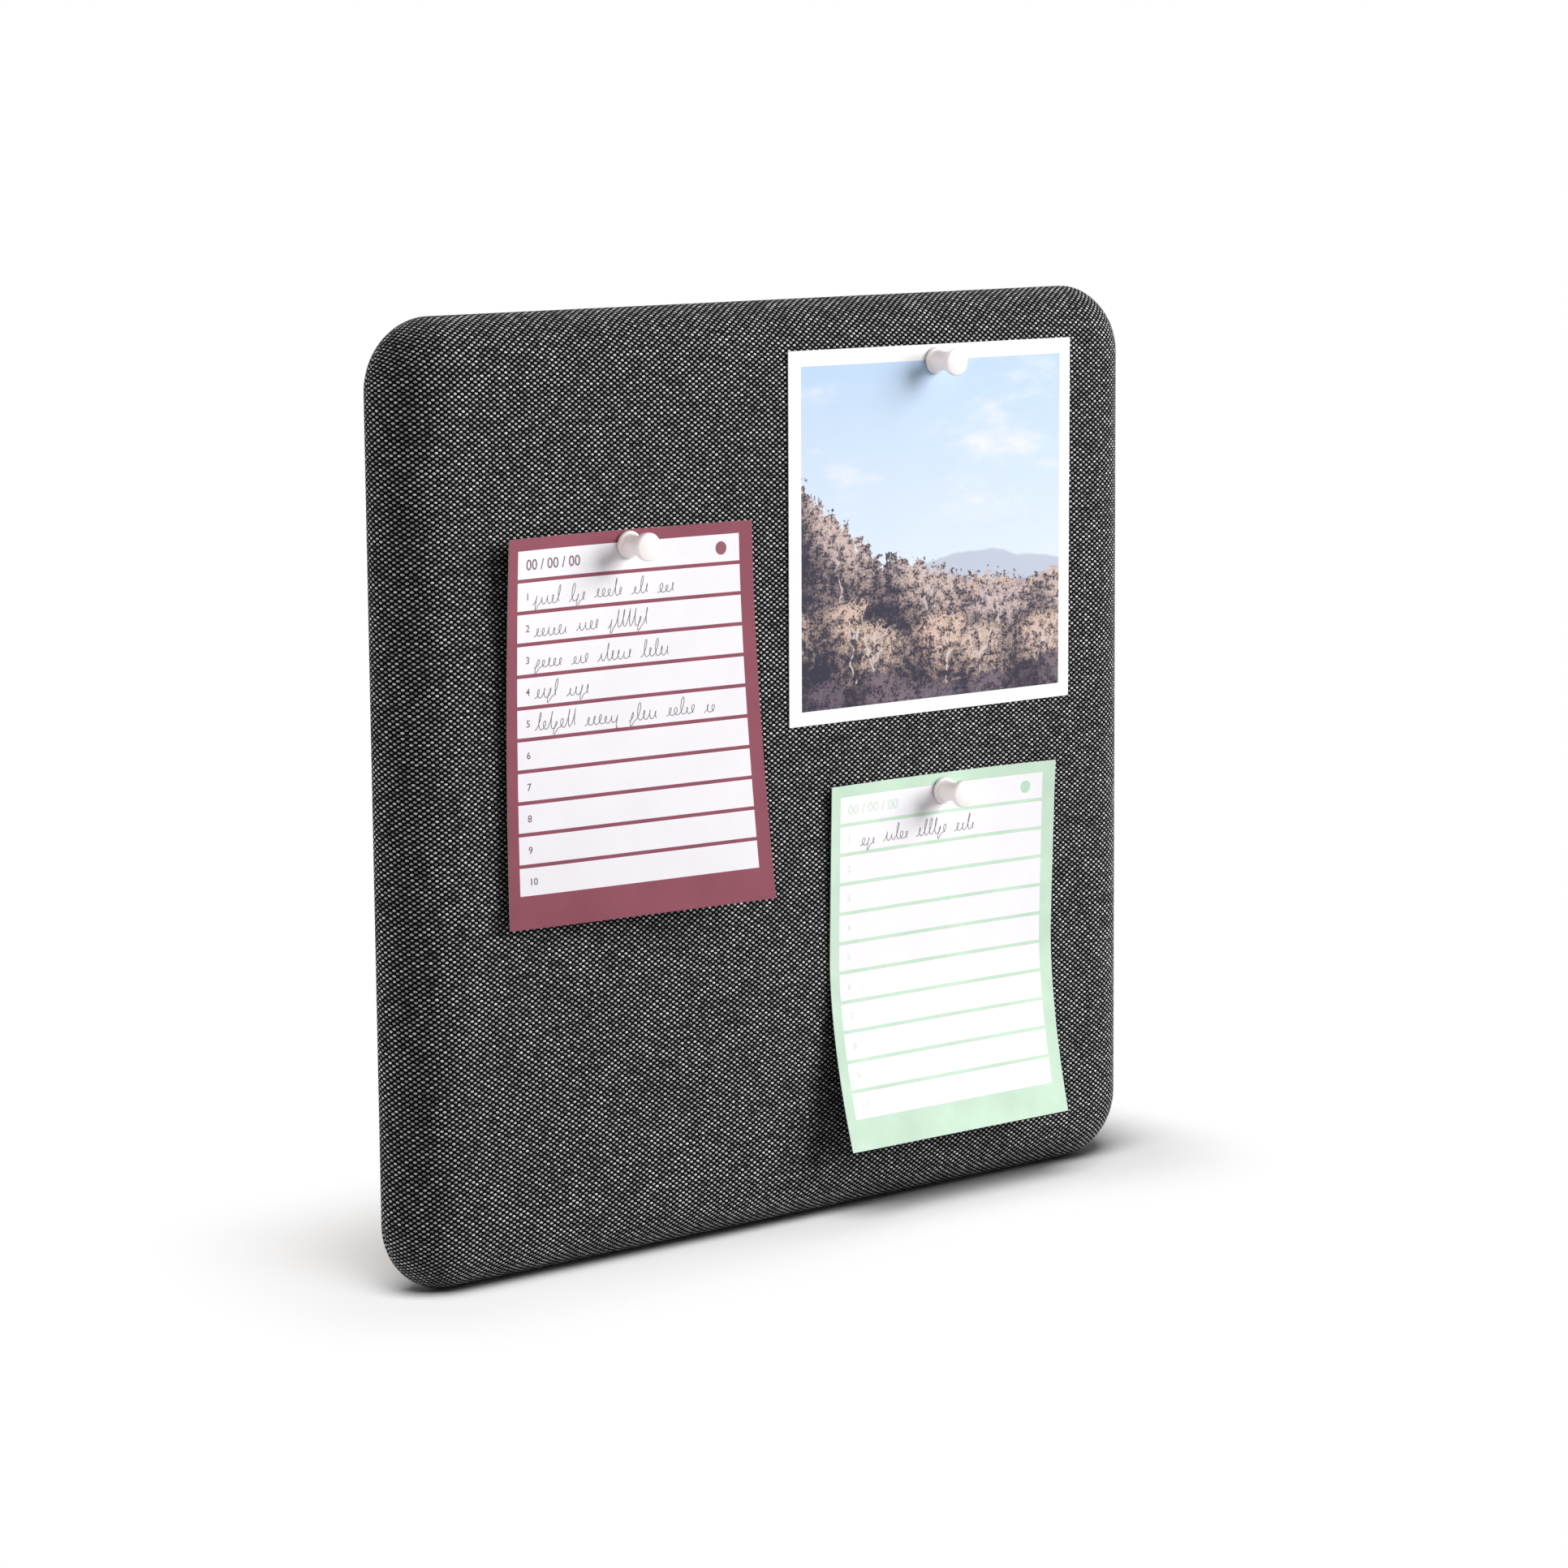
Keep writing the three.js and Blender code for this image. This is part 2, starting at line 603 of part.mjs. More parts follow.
function needle() {
  const tip = NEEDLE_SOCKET + NEEDLE_LENGTH;
  const points = [
    new THREE.Vector2(0, -tip),
    new THREE.Vector2(NEEDLE_RADIUS, NEEDLE_TIP - tip),
    new THREE.Vector2(NEEDLE_RADIUS, 0),
    new THREE.Vector2(0, 0),
  ];
  const body = toSolid(new THREE.LatheGeometry(points, HOLE_STEPS)).rotate([180, 0, 0]);
  return body.translate([0, -NEEDLE_SOCKET, 0]);
}

// Sheets

// How far a sheet stands off the cover, at shares across and down
function sheetLift(sheet, across, down) {
  const outward = (2 * across - 1) ** 2;
  const top = (across < 0.5 ? sheet.topLeft : sheet.topRight) * outward * (1 - down) ** CORNER_CURL_POWER;
  const curl = Math.max(0, (down - sheet.curlStartShare) / (1 - sheet.curlStartShare)) ** sheet.curlPower;
  return top + curl * (sheet.bottomLeft + (sheet.bottomRight - sheet.bottomLeft) * across);
}

// Points of the sheet's back face about its pin, each as far from its neighbours as on the flat sheet
function sheetGrid(sheet) {
  const [stepX, stepZ] = [sheet.width / sheet.columns, sheet.height / sheet.rows];
  const grid = [];
  for (let row = 0; row <= sheet.rows; row += 1) {
    const line = [];
    let x = 0;
    for (let column = 0; column <= sheet.columns; column += 1) {
      const lift = sheetLift(sheet, column / sheet.columns, row / sheet.rows);
      if (column > 0) x += Math.sqrt(Math.max(stepX ** 2 - (lift - line[column - 1].lift) ** 2, 0));
      const above = row > 0 ? grid[row - 1][column] : null;
      const drop = above ? Math.sqrt(Math.max(stepZ ** 2 - (lift - above.lift) ** 2, 0)) : 0;
      line.push({ x: x - sheet.pinAcross, lift, z: above ? above.z - drop : sheet.pinDown });
    }
    grid.push(line);
  }
  return grid;
}

// A sheet as a thin closed solid: its front face, its back face and the cut edges between them
function sheetBody(sheet) {
  const grid = sheetGrid(sheet);
  const columns = sheet.columns + 1;
  const points = [];
  for (const depth of [0, sheet.thickness]) {
    for (const { x, lift, z } of grid.flat()) points.push(new THREE.Vector3(x, -(lift + depth), z));
  }
  const front = points.length / 2;
  const index = [];
  for (let row = 0; row < sheet.rows; row += 1) {
    for (let column = 0; column < sheet.columns; column += 1) {
      const a = row * columns + column;
      const [b, c, d] = [a + 1, a + columns, a + columns + 1];
      index.push(a, b, c, b, d, c);
      index.push(front + a, front + c, front + b, front + b, front + c, front + d);
    }
  }
  const rim = [];
  for (let column = 0; column < sheet.columns; column += 1) rim.push(column);
  for (let row = 0; row < sheet.rows; row += 1) rim.push(row * columns + sheet.columns);
  for (let column = sheet.columns; column > 0; column -= 1) rim.push(sheet.rows * columns + column);
  for (let row = sheet.rows; row > 0; row -= 1) rim.push(row * columns);
  rim.forEach((a, at) => {
    const b = rim[(at + 1) % rim.length];
    index.push(a, front + a, b, b, front + a, front + b);
  });
  const geometry = new THREE.BufferGeometry().setFromPoints(points);
  geometry.setIndex(index);
  const hole = borer(NEEDLE_RADIUS + NEEDLE_CLEARANCE, 0, 0, -OVERRUN, OVERRUN);
  return toSolid(geometry).subtract(hole);
}

// One sheet with the pin that holds it, set in front of the cover
function pinnedSheet(sheet, board) {
  const group = new THREE.Group();
  group.position.set(sheet.pinX, -DEPTH - FIT_GAP, pinHeight(sheet));
  board.add(group);
  const finish = { color: sheet.colour, roughness: 0.9, metalness: 0 };
  const paper = namedMesh(sheet.name, sheetBody(sheet), finish, group);
  paper.rotation.y = THREE.MathUtils.degToRad(sheet.turn);
  const pin = new THREE.Group();
  pin.position.y = -(sheet.thickness + FIT_GAP);
  group.add(pin);
  namedMesh(sheet.pinName, pinBody(), MATERIALS.plastic, pin);
  namedMesh(`${sheet.pinName}_needle`, needle(), MATERIALS.steel, pin);
}

// Assembly

function addFrame(board) {
  const pockets = hangerPlaces().map(hangerPocket);
  const panelSeats = panelScrewPlaces().flatMap(({ x, z }) => screwSeat(x, z, 0));
  const hangerScrews = hangerPlaces().flatMap(hangerScrewPlaces);
  const hangerSeats = hangerScrews.flatMap(({ x, z }) => screwSeat(x, z, HANGER_FACE));
  const rails = frameRails(railRing([...pockets, ...panelSeats, ...hangerSeats]));
  for (const [name, solid] of Object.entries(rails)) namedMesh(name, solid, MATERIALS.rail, board);
  namedMesh('back_panel', backPanel(), MATERIALS.panel, board);
  for (const { side, x, z } of panelScrewPlaces()) {
    namedMesh(`panel_screw_${side}`, screw(), MATERIALS.steel, board).position.set(x, -SEAT_GAP, z);
  }
}

function addHangers(board) {
  for (const place of hangerPlaces()) {
    const hanger = namedMesh(`keyhole_hanger_${place.side}`, hangerPlate(), MATERIALS.steel, board);
    hanger.position.set(place.x, BACK_FACE + SEAT_GAP, place.z);
    for (const { end, x, z } of hangerScrewPlaces(place)) {
      const mesh = namedMesh(`hanger_screw_${place.side}_${end}`, screw(), MATERIALS.steel, board);
      mesh.position.set(x, HANGER_FACE - SEAT_GAP, z);
    }
  }
}

function addStaples(board) {
  stapleSeats().forEach(({ x, z, upright }, at) => {
    const mesh = namedMesh(`hem_staple_${String(at + 1).padStart(2, '0')}`, staple(), MATERIALS.steel, board);
    mesh.position.set(x, SEAT_GAP, z);
    mesh.rotation.y = upright ? Math.PI / 2 : 0;
  });
}

function addBumpers(board) {
  const [x, z] = [BOARD_WIDTH / 2 - BUMPER_INSET, BOARD_HEIGHT / 2 - BUMPER_INSET];
  const places = { top_left: [-x, z], top_right: [x, z], bottom_left: [-x, -z], bottom_right: [x, -z] };
  for (const [name, [atX, atZ]] of Object.entries(places)) {
    namedMesh(`bumper_${name}`, bumper(), MATERIALS.rubber, board).position.set(atX, SEAT_GAP, atZ);
  }
}

const pinBoard = new THREE.Group();
namedMesh('fabric_cover', fabricCover(), MATERIALS.cover, pinBoard);
namedMesh('foam_pad', foamPad(), MATERIALS.pad, pinBoard);
namedMesh('core_board', coreBoard(), MATERIALS.core, pinBoard);
addFrame(pinBoard);
addHangers(pinBoard);
addStaples(pinBoard);
addBumpers(pinBoard);
for (const sheet of SHEETS) pinnedSheet(sheet, pinBoard);

export default pinBoard;
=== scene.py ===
"""The looks of a fabric pin board with two note sheets, a photo print and three push pins.

Sizes are in millimetres, and points are turned into metres where a mesh is made. X runs to the right as
seen from the front, Z runs up, the front faces -Y and the origin is the middle of the back panel's face.
"""

import logging
import math
import random
from dataclasses import asdict, dataclass, field, replace
from enum import Enum

import bmesh
import bpy
from mathutils import Matrix, Vector


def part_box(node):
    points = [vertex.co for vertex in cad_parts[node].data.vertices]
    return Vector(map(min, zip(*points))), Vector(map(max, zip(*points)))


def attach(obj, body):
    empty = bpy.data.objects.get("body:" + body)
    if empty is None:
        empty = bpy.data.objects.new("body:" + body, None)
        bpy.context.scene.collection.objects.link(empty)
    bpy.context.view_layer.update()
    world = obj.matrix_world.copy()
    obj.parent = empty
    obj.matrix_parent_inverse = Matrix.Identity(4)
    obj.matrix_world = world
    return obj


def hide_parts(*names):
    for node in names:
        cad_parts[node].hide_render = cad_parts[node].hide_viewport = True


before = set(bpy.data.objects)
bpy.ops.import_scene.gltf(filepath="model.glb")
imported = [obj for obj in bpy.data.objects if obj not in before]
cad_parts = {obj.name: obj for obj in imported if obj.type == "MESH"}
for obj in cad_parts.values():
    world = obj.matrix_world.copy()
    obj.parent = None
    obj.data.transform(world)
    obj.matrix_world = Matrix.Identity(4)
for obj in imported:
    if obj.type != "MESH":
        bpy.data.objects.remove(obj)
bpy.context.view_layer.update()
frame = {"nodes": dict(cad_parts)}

log = logging.getLogger("pin_board")

MM = 0.001
FULL_TURN = 2 * math.pi
QUARTER_TURN = math.pi / 2
CLOTH_PLACE = "cloth_place"
PAPER_PLACE = "paper_place"

Pair = tuple[float, float]
Point = tuple[float, float, float]
Face = tuple[int, ...]
Colour = tuple[float, float, float, float]

WHITE: Colour = (1.0, 1.0, 1.0, 1.0)


def srgb(red: int, green: int, blue: int) -> Colour:
    """Turns a colour as a screen shows it into the linear colour that a shader takes.

    Args:
        red, green, blue: The channels, from 0 to 255.

    Returns:
        The linear colour, with full alpha.
    """
    linear = []
    for channel in (red, green, blue):
        share = channel / 255
        linear.append(share / 12.92 if share <= 0.04045 else ((share + 0.055) / 1.055) ** 2.4)
    return (*linear, 1.0)


# Meshes


def link(name: str, data: bpy.types.ID) -> bpy.types.Object:
    """Puts mesh, curve, light or camera data into the scene.

    Args:
        name: The object's name.
        data: What the object shows.

    Returns:
        The new object.
    """
    made = bpy.data.objects.new(name, data)
    bpy.context.scene.collection.objects.link(made)
    return made


def settle(mesh: bpy.types.Mesh, sharp_angle: float, weld_reach: float = 0.0) -> bpy.types.Mesh:
    """Turns a mesh's faces outwards and smooths them up to an angle.

    Args:
        mesh: The mesh to change.
        sharp_angle: Edges that turn by more than this stay sharp.
        weld_reach: Points that lie within this of each other, in metres, are joined first.

    Returns:
        The same mesh.
    """
    shape = bmesh.new()
    shape.from_mesh(mesh)
    if weld_reach:
        bmesh.ops.remove_doubles(shape, verts=shape.verts, dist=weld_reach)
    bmesh.ops.recalc_face_normals(shape, faces=shape.faces)
    shape.to_mesh(mesh)
    shape.free()
    mesh.polygons.foreach_set("use_smooth", [True] * len(mesh.polygons))
    mesh.set_sharp_from_angle(angle=sharp_angle)
    return mesh


def new_mesh(
    name: str,
    points: list[Point],
    faces: list[Face],
    sharp_angle: float = math.radians(35),
    weld_reach: float = 0.0,
) -> bpy.types.Mesh:
    """Makes a mesh with its faces turned outwards.

    Args:
        name: The mesh's name.
        points: The vertices, in millimetres.
        faces: The faces, as vertex numbers.
        sharp_angle: Edges that turn by more than this stay sharp.
        weld_reach: Points that lie within this of each other, in metres, are joined.

    Returns:
        The new mesh.
    """
    mesh = bpy.data.meshes.new(name)
    mesh.from_pydata([[value * MM for value in point] for point in points], [], faces)
    return settle(mesh, sharp_angle, weld_reach)


def baked(piece: bpy.types.Object, *helpers: bpy.types.Object) -> bpy.types.Mesh:
    """Takes an object and its helpers out of the scene.

    Args:
        piece: The object, with a curve or with modifiers.
        *helpers: The objects that its modifiers work with.

    Returns:
        The mesh that it had in the scene.
    """
    shaped = piece.evaluated_get(bpy.context.evaluated_depsgraph_get())
    mesh = bpy.data.meshes.new_from_object(shaped)
    for spent in (piece, *helpers):
        bpy.data.objects.remove(spent)
    return mesh


def strip_faces(rings: int, count: int) -> list[Face]:
    """Joins neighbouring rings of points into four-sided faces.

    Args:
        rings: How many rings there are.
        count: How many points each closed ring has.

    Returns:
        The faces.
    """
    faces = []
    for low in range(0, (rings - 1) * count, count):
        high = low + count
        for at in range(count):
            after = (at + 1) % count
            faces.append((low + at, low + after, high + after, high + at))
    return faces


def skin_faces(rings: int, count: int) -> list[Face]:
    """Joins rings of points into a closed skin, with one face over each end."""
    last = (rings - 1) * count
    return [*strip_faces(rings, count), tuple(range(count)), tuple(range(last, last + count))]


def lathe(profile: list[Pair], steps: int) -> tuple[list[Point], list[Face]]:
    """Turns a profile about the Y axis, with its heights towards -Y.

    Args:
        profile: Radius and height of each point, from one end of the axis to the other.
        steps: How many points go round.

    Returns:
        The points and faces of a closed solid.
    """
    points: list[Point] = [(0.0, -profile[0][1], 0.0)]
    inner = profile[1:-1]
    for radius, height in inner:
        for step in range(steps):
            turn = FULL_TURN * step / steps
            points.append((radius * math.cos(turn), -height, radius * math.sin(turn)))
    points.append((0.0, -profile[-1][1], 0.0))
    faces = [tuple(1 + corner for corner in face) for face in strip_faces(len(inner), steps)]
    last = len(points) - 1
    for step in range(steps):
        after = (step + 1) % steps
        faces.append((0, 1 + step, 1 + after))
        faces.append((last, last - steps + step, last - steps + after))
    return points, faces


def arc(centre: Pair, radius: float, start: float, end: float, steps: int) -> list[Pair]:
    """Returns points along a circular arc, both ends included."""
    turns = [start + (end - start) * step / steps for step in range(steps + 1)]
    return [(centre[0] + radius * math.cos(turn), centre[1] + radius * math.sin(turn)) for turn in turns]


def bezier(ends: list[Pair], steps: int) -> list[Pair]:
    """Follows a cubic curve.

    Args:
        ends: Its four control points.
        steps: How many steps it is divided into.

    Returns:
        Points along it, both ends included.
    """
    points = []
    for step in range(steps + 1):
        share = step / steps
        weights = [(1 - share) ** 3, 3 * share * (1 - share) ** 2, 3 * share**2 * (1 - share), share**3]
        points.append(tuple(sum(w * end[axis] for w, end in zip(weights, ends)) for axis in (0, 1)))
    return points


def store_place(piece: bpy.types.Object, name: str, places: list[Point]) -> None:
    """Keeps a place in millimetres for each vertex, which a material reads as an attribute."""
    attribute = piece.data.attributes.new(name, "FLOAT_VECTOR", "POINT")
    attribute.data.foreach_set("vector", [value for place in places for value in place])


def soften(piece: bpy.types.Object, width: float) -> None:
    """Breaks a solid's sharp edges with a small bevel."""
    bevel = piece.modifiers.new("edge_break", "BEVEL")
    bevel.width = width * MM
    bevel.segments = 2
    bevel.limit_method = "ANGLE"
    bevel.angle_limit = math.radians(40)
    bevel.harden_normals = True


def box_mm(node: str) -> tuple[Vector, Vector]:
    """Returns a node's lowest and highest corner, in millimetres."""
    low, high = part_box(node)
    return low / MM, high / MM


# Shader nodes


class Kind(Enum):
    """What a node group's socket carries."""

    NUMBER = "NodeSocketFloat"
    PLACE = "NodeSocketVector"


class Value:
    """What a node puts out. A sum that is written with it is laid as a node of its graph."""

    def __init__(self, graph: "Graph", socket: bpy.types.NodeSocket) -> None:
        """Keeps the socket and the graph that it lies in."""
        self.graph = graph
        self.socket = socket

    def __add__(self, other: "Feed") -> "Value":
        """Returns this plus another."""
        return self.graph.math("ADD", self, other)

    def __sub__(self, other: "Feed") -> "Value":
        """Returns this less another."""
        return self.graph.math("SUBTRACT", self, other)

    def __rsub__(self, other: float) -> "Value":
        """Returns a number less this."""
        return self.graph.math("SUBTRACT", other, self)

    def __mul__(self, other: "Feed") -> "Value":
        """Returns this times another."""
        return self.graph.math("MULTIPLY", self, other)

    def __truediv__(self, other: "Feed") -> "Value":
        """Returns this over another."""
        return self.graph.math("DIVIDE", self, other)

    def __pow__(self, other: float) -> "Value":
        """Returns this to a power."""
        return self.graph.math("POWER", self, other)

    def __abs__(self) -> "Value":
        """Returns this without its sign."""
        return self.graph.math("ABSOLUTE", self)

    def held(self) -> "Value":
        """Holds the sum that gave this between 0 and 1."""
        self.socket.node.use_clamp = True
        return self

    def remap(
        self, low: float, high: float, to_low: float = 0.0, to_high: float = 1.0, smooth: bool = False
    ) -> "Value":
        """Stretches this from one range to another, and holds it there.

        Args:
            low, high: The range that it has.
            to_low, to_high: The range that it gets.
            smooth: Whether it eases in and out.

        Returns:
            The stretched value.
        """
        kind = "SMOOTHSTEP" if smooth else "LINEAR"
        inputs = {"Value": self, "From Min": low, "From Max": high, "To Min": to_low, "To Max": to_high}
        return self.graph.lay("ShaderNodeMapRange", inputs, interpolation_type=kind)


Feed = float | tuple | Vector | Value


class Graph:
    """A short way to lay and join nodes in one node tree."""

    def __init__(self, tree: bpy.types.NodeTree) -> None:
        """Keeps the tree that nodes are laid in."""
        self.tree = tree

    def fill(self, node: bpy.types.Node, inputs: dict[str | int, Feed]) -> None:
        """Joins or sets a node's inputs, each by the socket's name or number."""
        for name, value in inputs.items():
            if isinstance(value, Value):
                self.tree.links.new(value.socket, node.inputs[name])
            else:
                node.inputs[name].default_value = value

    def node(self, kind: str, inputs: dict[str | int, Feed], **settings: object) -> bpy.types.Node:
        """Lays a node.

        Args:
            kind: The node's type.
            inputs: What goes into it, by the socket's name or number.
            **settings: The node's own settings.

        Returns:
            The node.
        """
        made = self.tree.nodes.new(kind)
        for name, value in settings.items():
            setattr(made, name, value)
        self.fill(made, inputs)
        return made

    def out(self, node: bpy.types.Node, name: str | int = 0) -> Value:
        """Returns one output of a node, by its name or number."""
        return Value(self, node.outputs[name])

    def lay(self, kind: str, inputs: dict[str | int, Feed], **settings: object) -> Value:
        """Lays a node, and returns its first output."""
        return self.out(self.node(kind, inputs, **settings))

    def math(self, operation: str, *values: Feed) -> Value:
        """Returns the result of a sum on numbers."""
        return self.lay("ShaderNodeMath", dict(enumerate(values)), operation=operation)

    def times(self, place: Value, scales: Point) -> Value:
        """Returns a place stretched along each axis."""
        return self.lay("ShaderNodeVectorMath", {0: place, 1: scales}, operation="MULTIPLY")

    def plus(self, place: Value, step: Value) -> Value:
        """Returns a place moved by a step."""
        return self.lay("ShaderNodeVectorMath", {0: place, 1: step}, operation="ADD")

    def parts(self, place: Value) -> tuple[Value, ...]:
        """Returns a place's three numbers."""
        split = self.node("ShaderNodeSeparateXYZ", {0: place})
        return tuple(self.out(split, axis) for axis in (0, 1, 2))

    def join(self, x: Feed, y: Feed, z: Feed = 0.0) -> Value:
        """Returns a place made of three numbers."""
        return self.lay("ShaderNodeCombineXYZ", {0: x, 1: y, 2: z})

    def mix(self, factor: Feed, first: Feed, second: Feed, blend: str = "MIX") -> Value:
        """Mixes two colours.

        Args:
            factor: How much of the second shows.
            first, second: The colours.
            blend: How the second lies over the first.

        Returns:
            The mixed colour.
        """
        inputs = {0: factor, 6: first, 7: second}
        return self.out(self.node("ShaderNodeMix", inputs, data_type="RGBA", blend_type=blend), 2)

    def shaded(self, colour: Value, tone: Value) -> Value:
        """Returns a colour times a grey tone."""
        return self.mix(1.0, colour, self.join(tone, tone, tone), "MULTIPLY")

    def blend(self, factor: Feed, first: Feed, second: Feed) -> Value:
        """Returns a number between two numbers."""
        return self.lay("ShaderNodeMix", {0: factor, 2: first, 3: second}, data_type="FLOAT")

    def ramp(self, factor: Value, stops: list[tuple[float, Colour]]) -> Value:
        """Looks up a colour on a ramp.

        Args:
            factor: The place on the ramp.
            stops: The ramp's places and colours.

        Returns:
            The colour there.
        """
        made = self.node("ShaderNodeValToRGB", {0: factor})
        elements = made.color_ramp.elements
        while len(elements) < len(stops):
            elements.new(1.0)
        for element, (place, colour) in zip(elements, stops):
            element.position = place
            element.color = colour
        return self.out(made)

    def noise(self, place: Value, scale: Feed, detail: float, roughness: float = 0.5) -> bpy.types.Node:
        """Lays a noise texture, whose first output is a number and whose second is a colour."""
        inputs = {"Vector": place, "Scale": scale, "Detail": detail, "Roughness": roughness}
        return self.node("ShaderNodeTexNoise", inputs)

    def rough(self, place: Value, scale: Feed, detail: float, roughness: float = 0.5) -> Value:
        """Returns a noise texture's number."""
        return self.out(self.noise(place, scale, detail, roughness))

    def wander(self, place: Value, scale: float, reach: Feed) -> Value:
        """Returns a place pushed about by noise, by up to a reach."""
        colour = self.out(self.noise(place, scale, 1.0), 1)
        push = self.lay("ShaderNodeVectorMath", {0: colour, 1: (0.5, 0.5, 0.5)}, operation="SUBTRACT")
        step = self.lay("ShaderNodeVectorMath", {0: push, "Scale": reach}, operation="SCALE")
        return self.plus(place, step)

    def object_place(self) -> Value:
        """Returns the place on the object, in metres."""
        return self.out(self.node("ShaderNodeTexCoord", {}), "Object")

    def stored_place(self, name: str) -> Value:
        """Returns a place that the mesh keeps for each vertex."""
        return self.out(self.node("ShaderNodeAttribute", {}, attribute_name=name), "Vector")

    def bump(self, height: Value, distance: float) -> Value:
        """Returns a surface raised by a height map, where 1 stands out by a distance in millimetres."""
        return self.lay("ShaderNodeBump", {"Height": height, "Distance": distance * MM})


class Effect:
    """A shader node group that is built once and placed in each material that needs it.

    It works from a place and a few numbers, and puts out numbers.
    """

    name = ""
    numbers: dict[str, float] = {}
    outputs: tuple[str, ...] = ()

    def lay(self, graph: Graph, place: Value, given: dict[str, Value]) -> dict[str, Value]:
        """Lays the group's own nodes.

        Args:
            graph: Where they go.
            place: The place that the group works from.
            given: The group's numbers, by name.

        Returns:
            What goes to each output, by name.
        """
        raise NotImplementedError

    def tree(self) -> bpy.types.NodeTree:
        """Returns the group, built on first use."""
        found = bpy.data.node_groups.get(self.name)
        if found:
            return found
        made = bpy.data.node_groups.new(self.name, "ShaderNodeTree")
        made.interface.new_socket(name="Place", in_out="INPUT", socket_type=Kind.PLACE.value)
        for name, default in self.numbers.items():
            socket = made.interface.new_socket(name=name, in_out="INPUT", socket_type=Kind.NUMBER.value)
            socket.default_value = default
        for name in self.outputs:
            made.interface.new_socket(name=name, in_out="OUTPUT", socket_type=Kind.NUMBER.value)
        graph = Graph(made)
        entry = graph.node("NodeGroupInput", {})
        given = {name: graph.out(entry, name) for name in self.numbers}
        graph.node("NodeGroupOutput", self.lay(graph, graph.out(entry, "Place"), given))
        return made

    def place(self, graph: Graph, place: Value, **numbers: Feed) -> dict[str, Value]:
        """Places the group in a material.

        Args:
            graph: The material's nodes.
            place: The place that the group works from.
            **numbers: What goes into its other inputs, with their names in lower case.

        Returns:
            The group's outputs, by name.
        """
        inputs = {"Place": place, **{name.capitalize(): value for name, value in numbers.items()}}
        made = graph.node("ShaderNodeGroup", inputs, node_tree=self.tree())
        return {name: graph.out(made, name) for name in self.outputs}


class BasketWeave(Effect):
    """Light weft floats over dark warp, in rows that are each set off by half a step."""

    name = "basket weave"
    numbers = {"Wander": 0.3, "Heather": 1.0}
    outputs = ("Light", "Shade", "Fibre", "Height")
    rising = (0.389, 0.562, 0.0)
    falling = (0.361, -0.525, 0.0)
    wander_scales_and_reaches = ((0.02, 6.0), (0.16, 1.0), (0.7, 0.8))
    light_half_sizes = (0.51, 0.47)
    dark_half_sizes = (0.5, 0.66)
    float_shade = 0.38
    yarn_scales = (0.11, 0.83)
    yarn_shades = (0.1, 0.44)
    patch_scale = 0.045
    patch_shades = (0.0, 0.07)
    dark_height = 0.7
    fibre_scales = (2.2, 13.0, 1.0)
    fibre_height = 0.25

    def oval(self, across: Value, along: Value, half_sizes: Pair) -> Value:
        """Returns how far out a point lies in a float: 0 in its middle and 1 at its rim."""
        return (across / half_sizes[0]) ** 2.0 + (along / half_sizes[1]) ** 2.0

    def dot(self, graph: Graph, place: Value, way: Point) -> Value:
        """Returns how far a place lies along a way."""
        made = graph.node("ShaderNodeVectorMath", {0: place, 1: way}, operation="DOT_PRODUCT")
        return graph.out(made, "Value")

    def lay(self, graph: Graph, place: Value, given: dict[str, Value]) -> dict[str, Value]:
        """Lays the weave's nodes, as the base class says."""
        for scale, reach in self.wander_scales_and_reaches:
            place = graph.wander(place, scale, given["Wander"] * reach)
        steps = [self.dot(graph, place, way) for way in (self.rising, self.falling)]
        cells = [graph.math("ROUND", step) for step in steps]
        rising, falling = (step - cell for step, cell in zip(steps, cells))
        across, along = abs(rising + falling), abs(rising - falling)

        float_tone = graph.lay("ShaderNodeTexWhiteNoise", {0: graph.join(*cells)}, noise_dimensions="2D")
        column, row = cells[0] + cells[1], cells[0] - cells[1]
        yarn_place = graph.join(column * self.yarn_scales[0], row * self.yarn_scales[1], 4.0)
        yarn = graph.rough(yarn_place, 1.0, 3.0, 0.7)
        patch = graph.rough(graph.join(*graph.parts(place)[:2], 9.0), self.patch_scale, 2.0, 0.6)
        shade = float_tone * self.float_shade + yarn.remap(0.28, 0.72, *self.yarn_shades)
        shade = shade + patch.remap(0.3, 0.7, *self.patch_shades)

        light = self.oval(across, along, self.light_half_sizes)
        beside = self.oval(1.0 - across, along, self.dark_half_sizes)
        above = self.oval(across, 1.0 - along, self.dark_half_sizes)
        dark = graph.math("MINIMUM", beside, above)
        light_height, dark_height = (graph.math("SQRT", (1.0 - out).held()) for out in (light, dark))
        height = graph.math("MAXIMUM", light_height, dark_height * self.dark_height)
        fibre = graph.rough(graph.times(place, self.fibre_scales), 1.0, 2.0, 0.6)
        return {
            # The light yarn's mask fades out over the outer part of each float: partly the yarn's soft edge,
            # partly painted shade where the float rounds down into the dark warp.
            "Light": light.remap(1.0, 0.6, smooth=True),
            "Shade": graph.blend(given["Heather"], 0.5, shade),
            "Fibre": fibre,
            "Height": height + fibre * self.fibre_height,
        }


class PaperFibre(Effect):
    """The faint cloudiness and tooth of uncoated paper."""

    name = "paper fibre"
    numbers = {"Tooth": 1.0}
    outputs = ("Tone", "Height")
    cloud_scale = 0.06
    fibre_scale = 2.4

    def lay(self, graph: Graph, place: Value, given: dict[str, Value]) -> dict[str, Value]:
        """Lays the paper's nodes, as the base class says."""
        cloud = graph.rough(place, self.cloud_scale, 3.0)
        fibre = graph.rough(place, self.fibre_scale, 3.0, 0.65)
        return {"Tone": cloud * 0.7 + fibre * 0.3, "Height": fibre * given["Tooth"]}


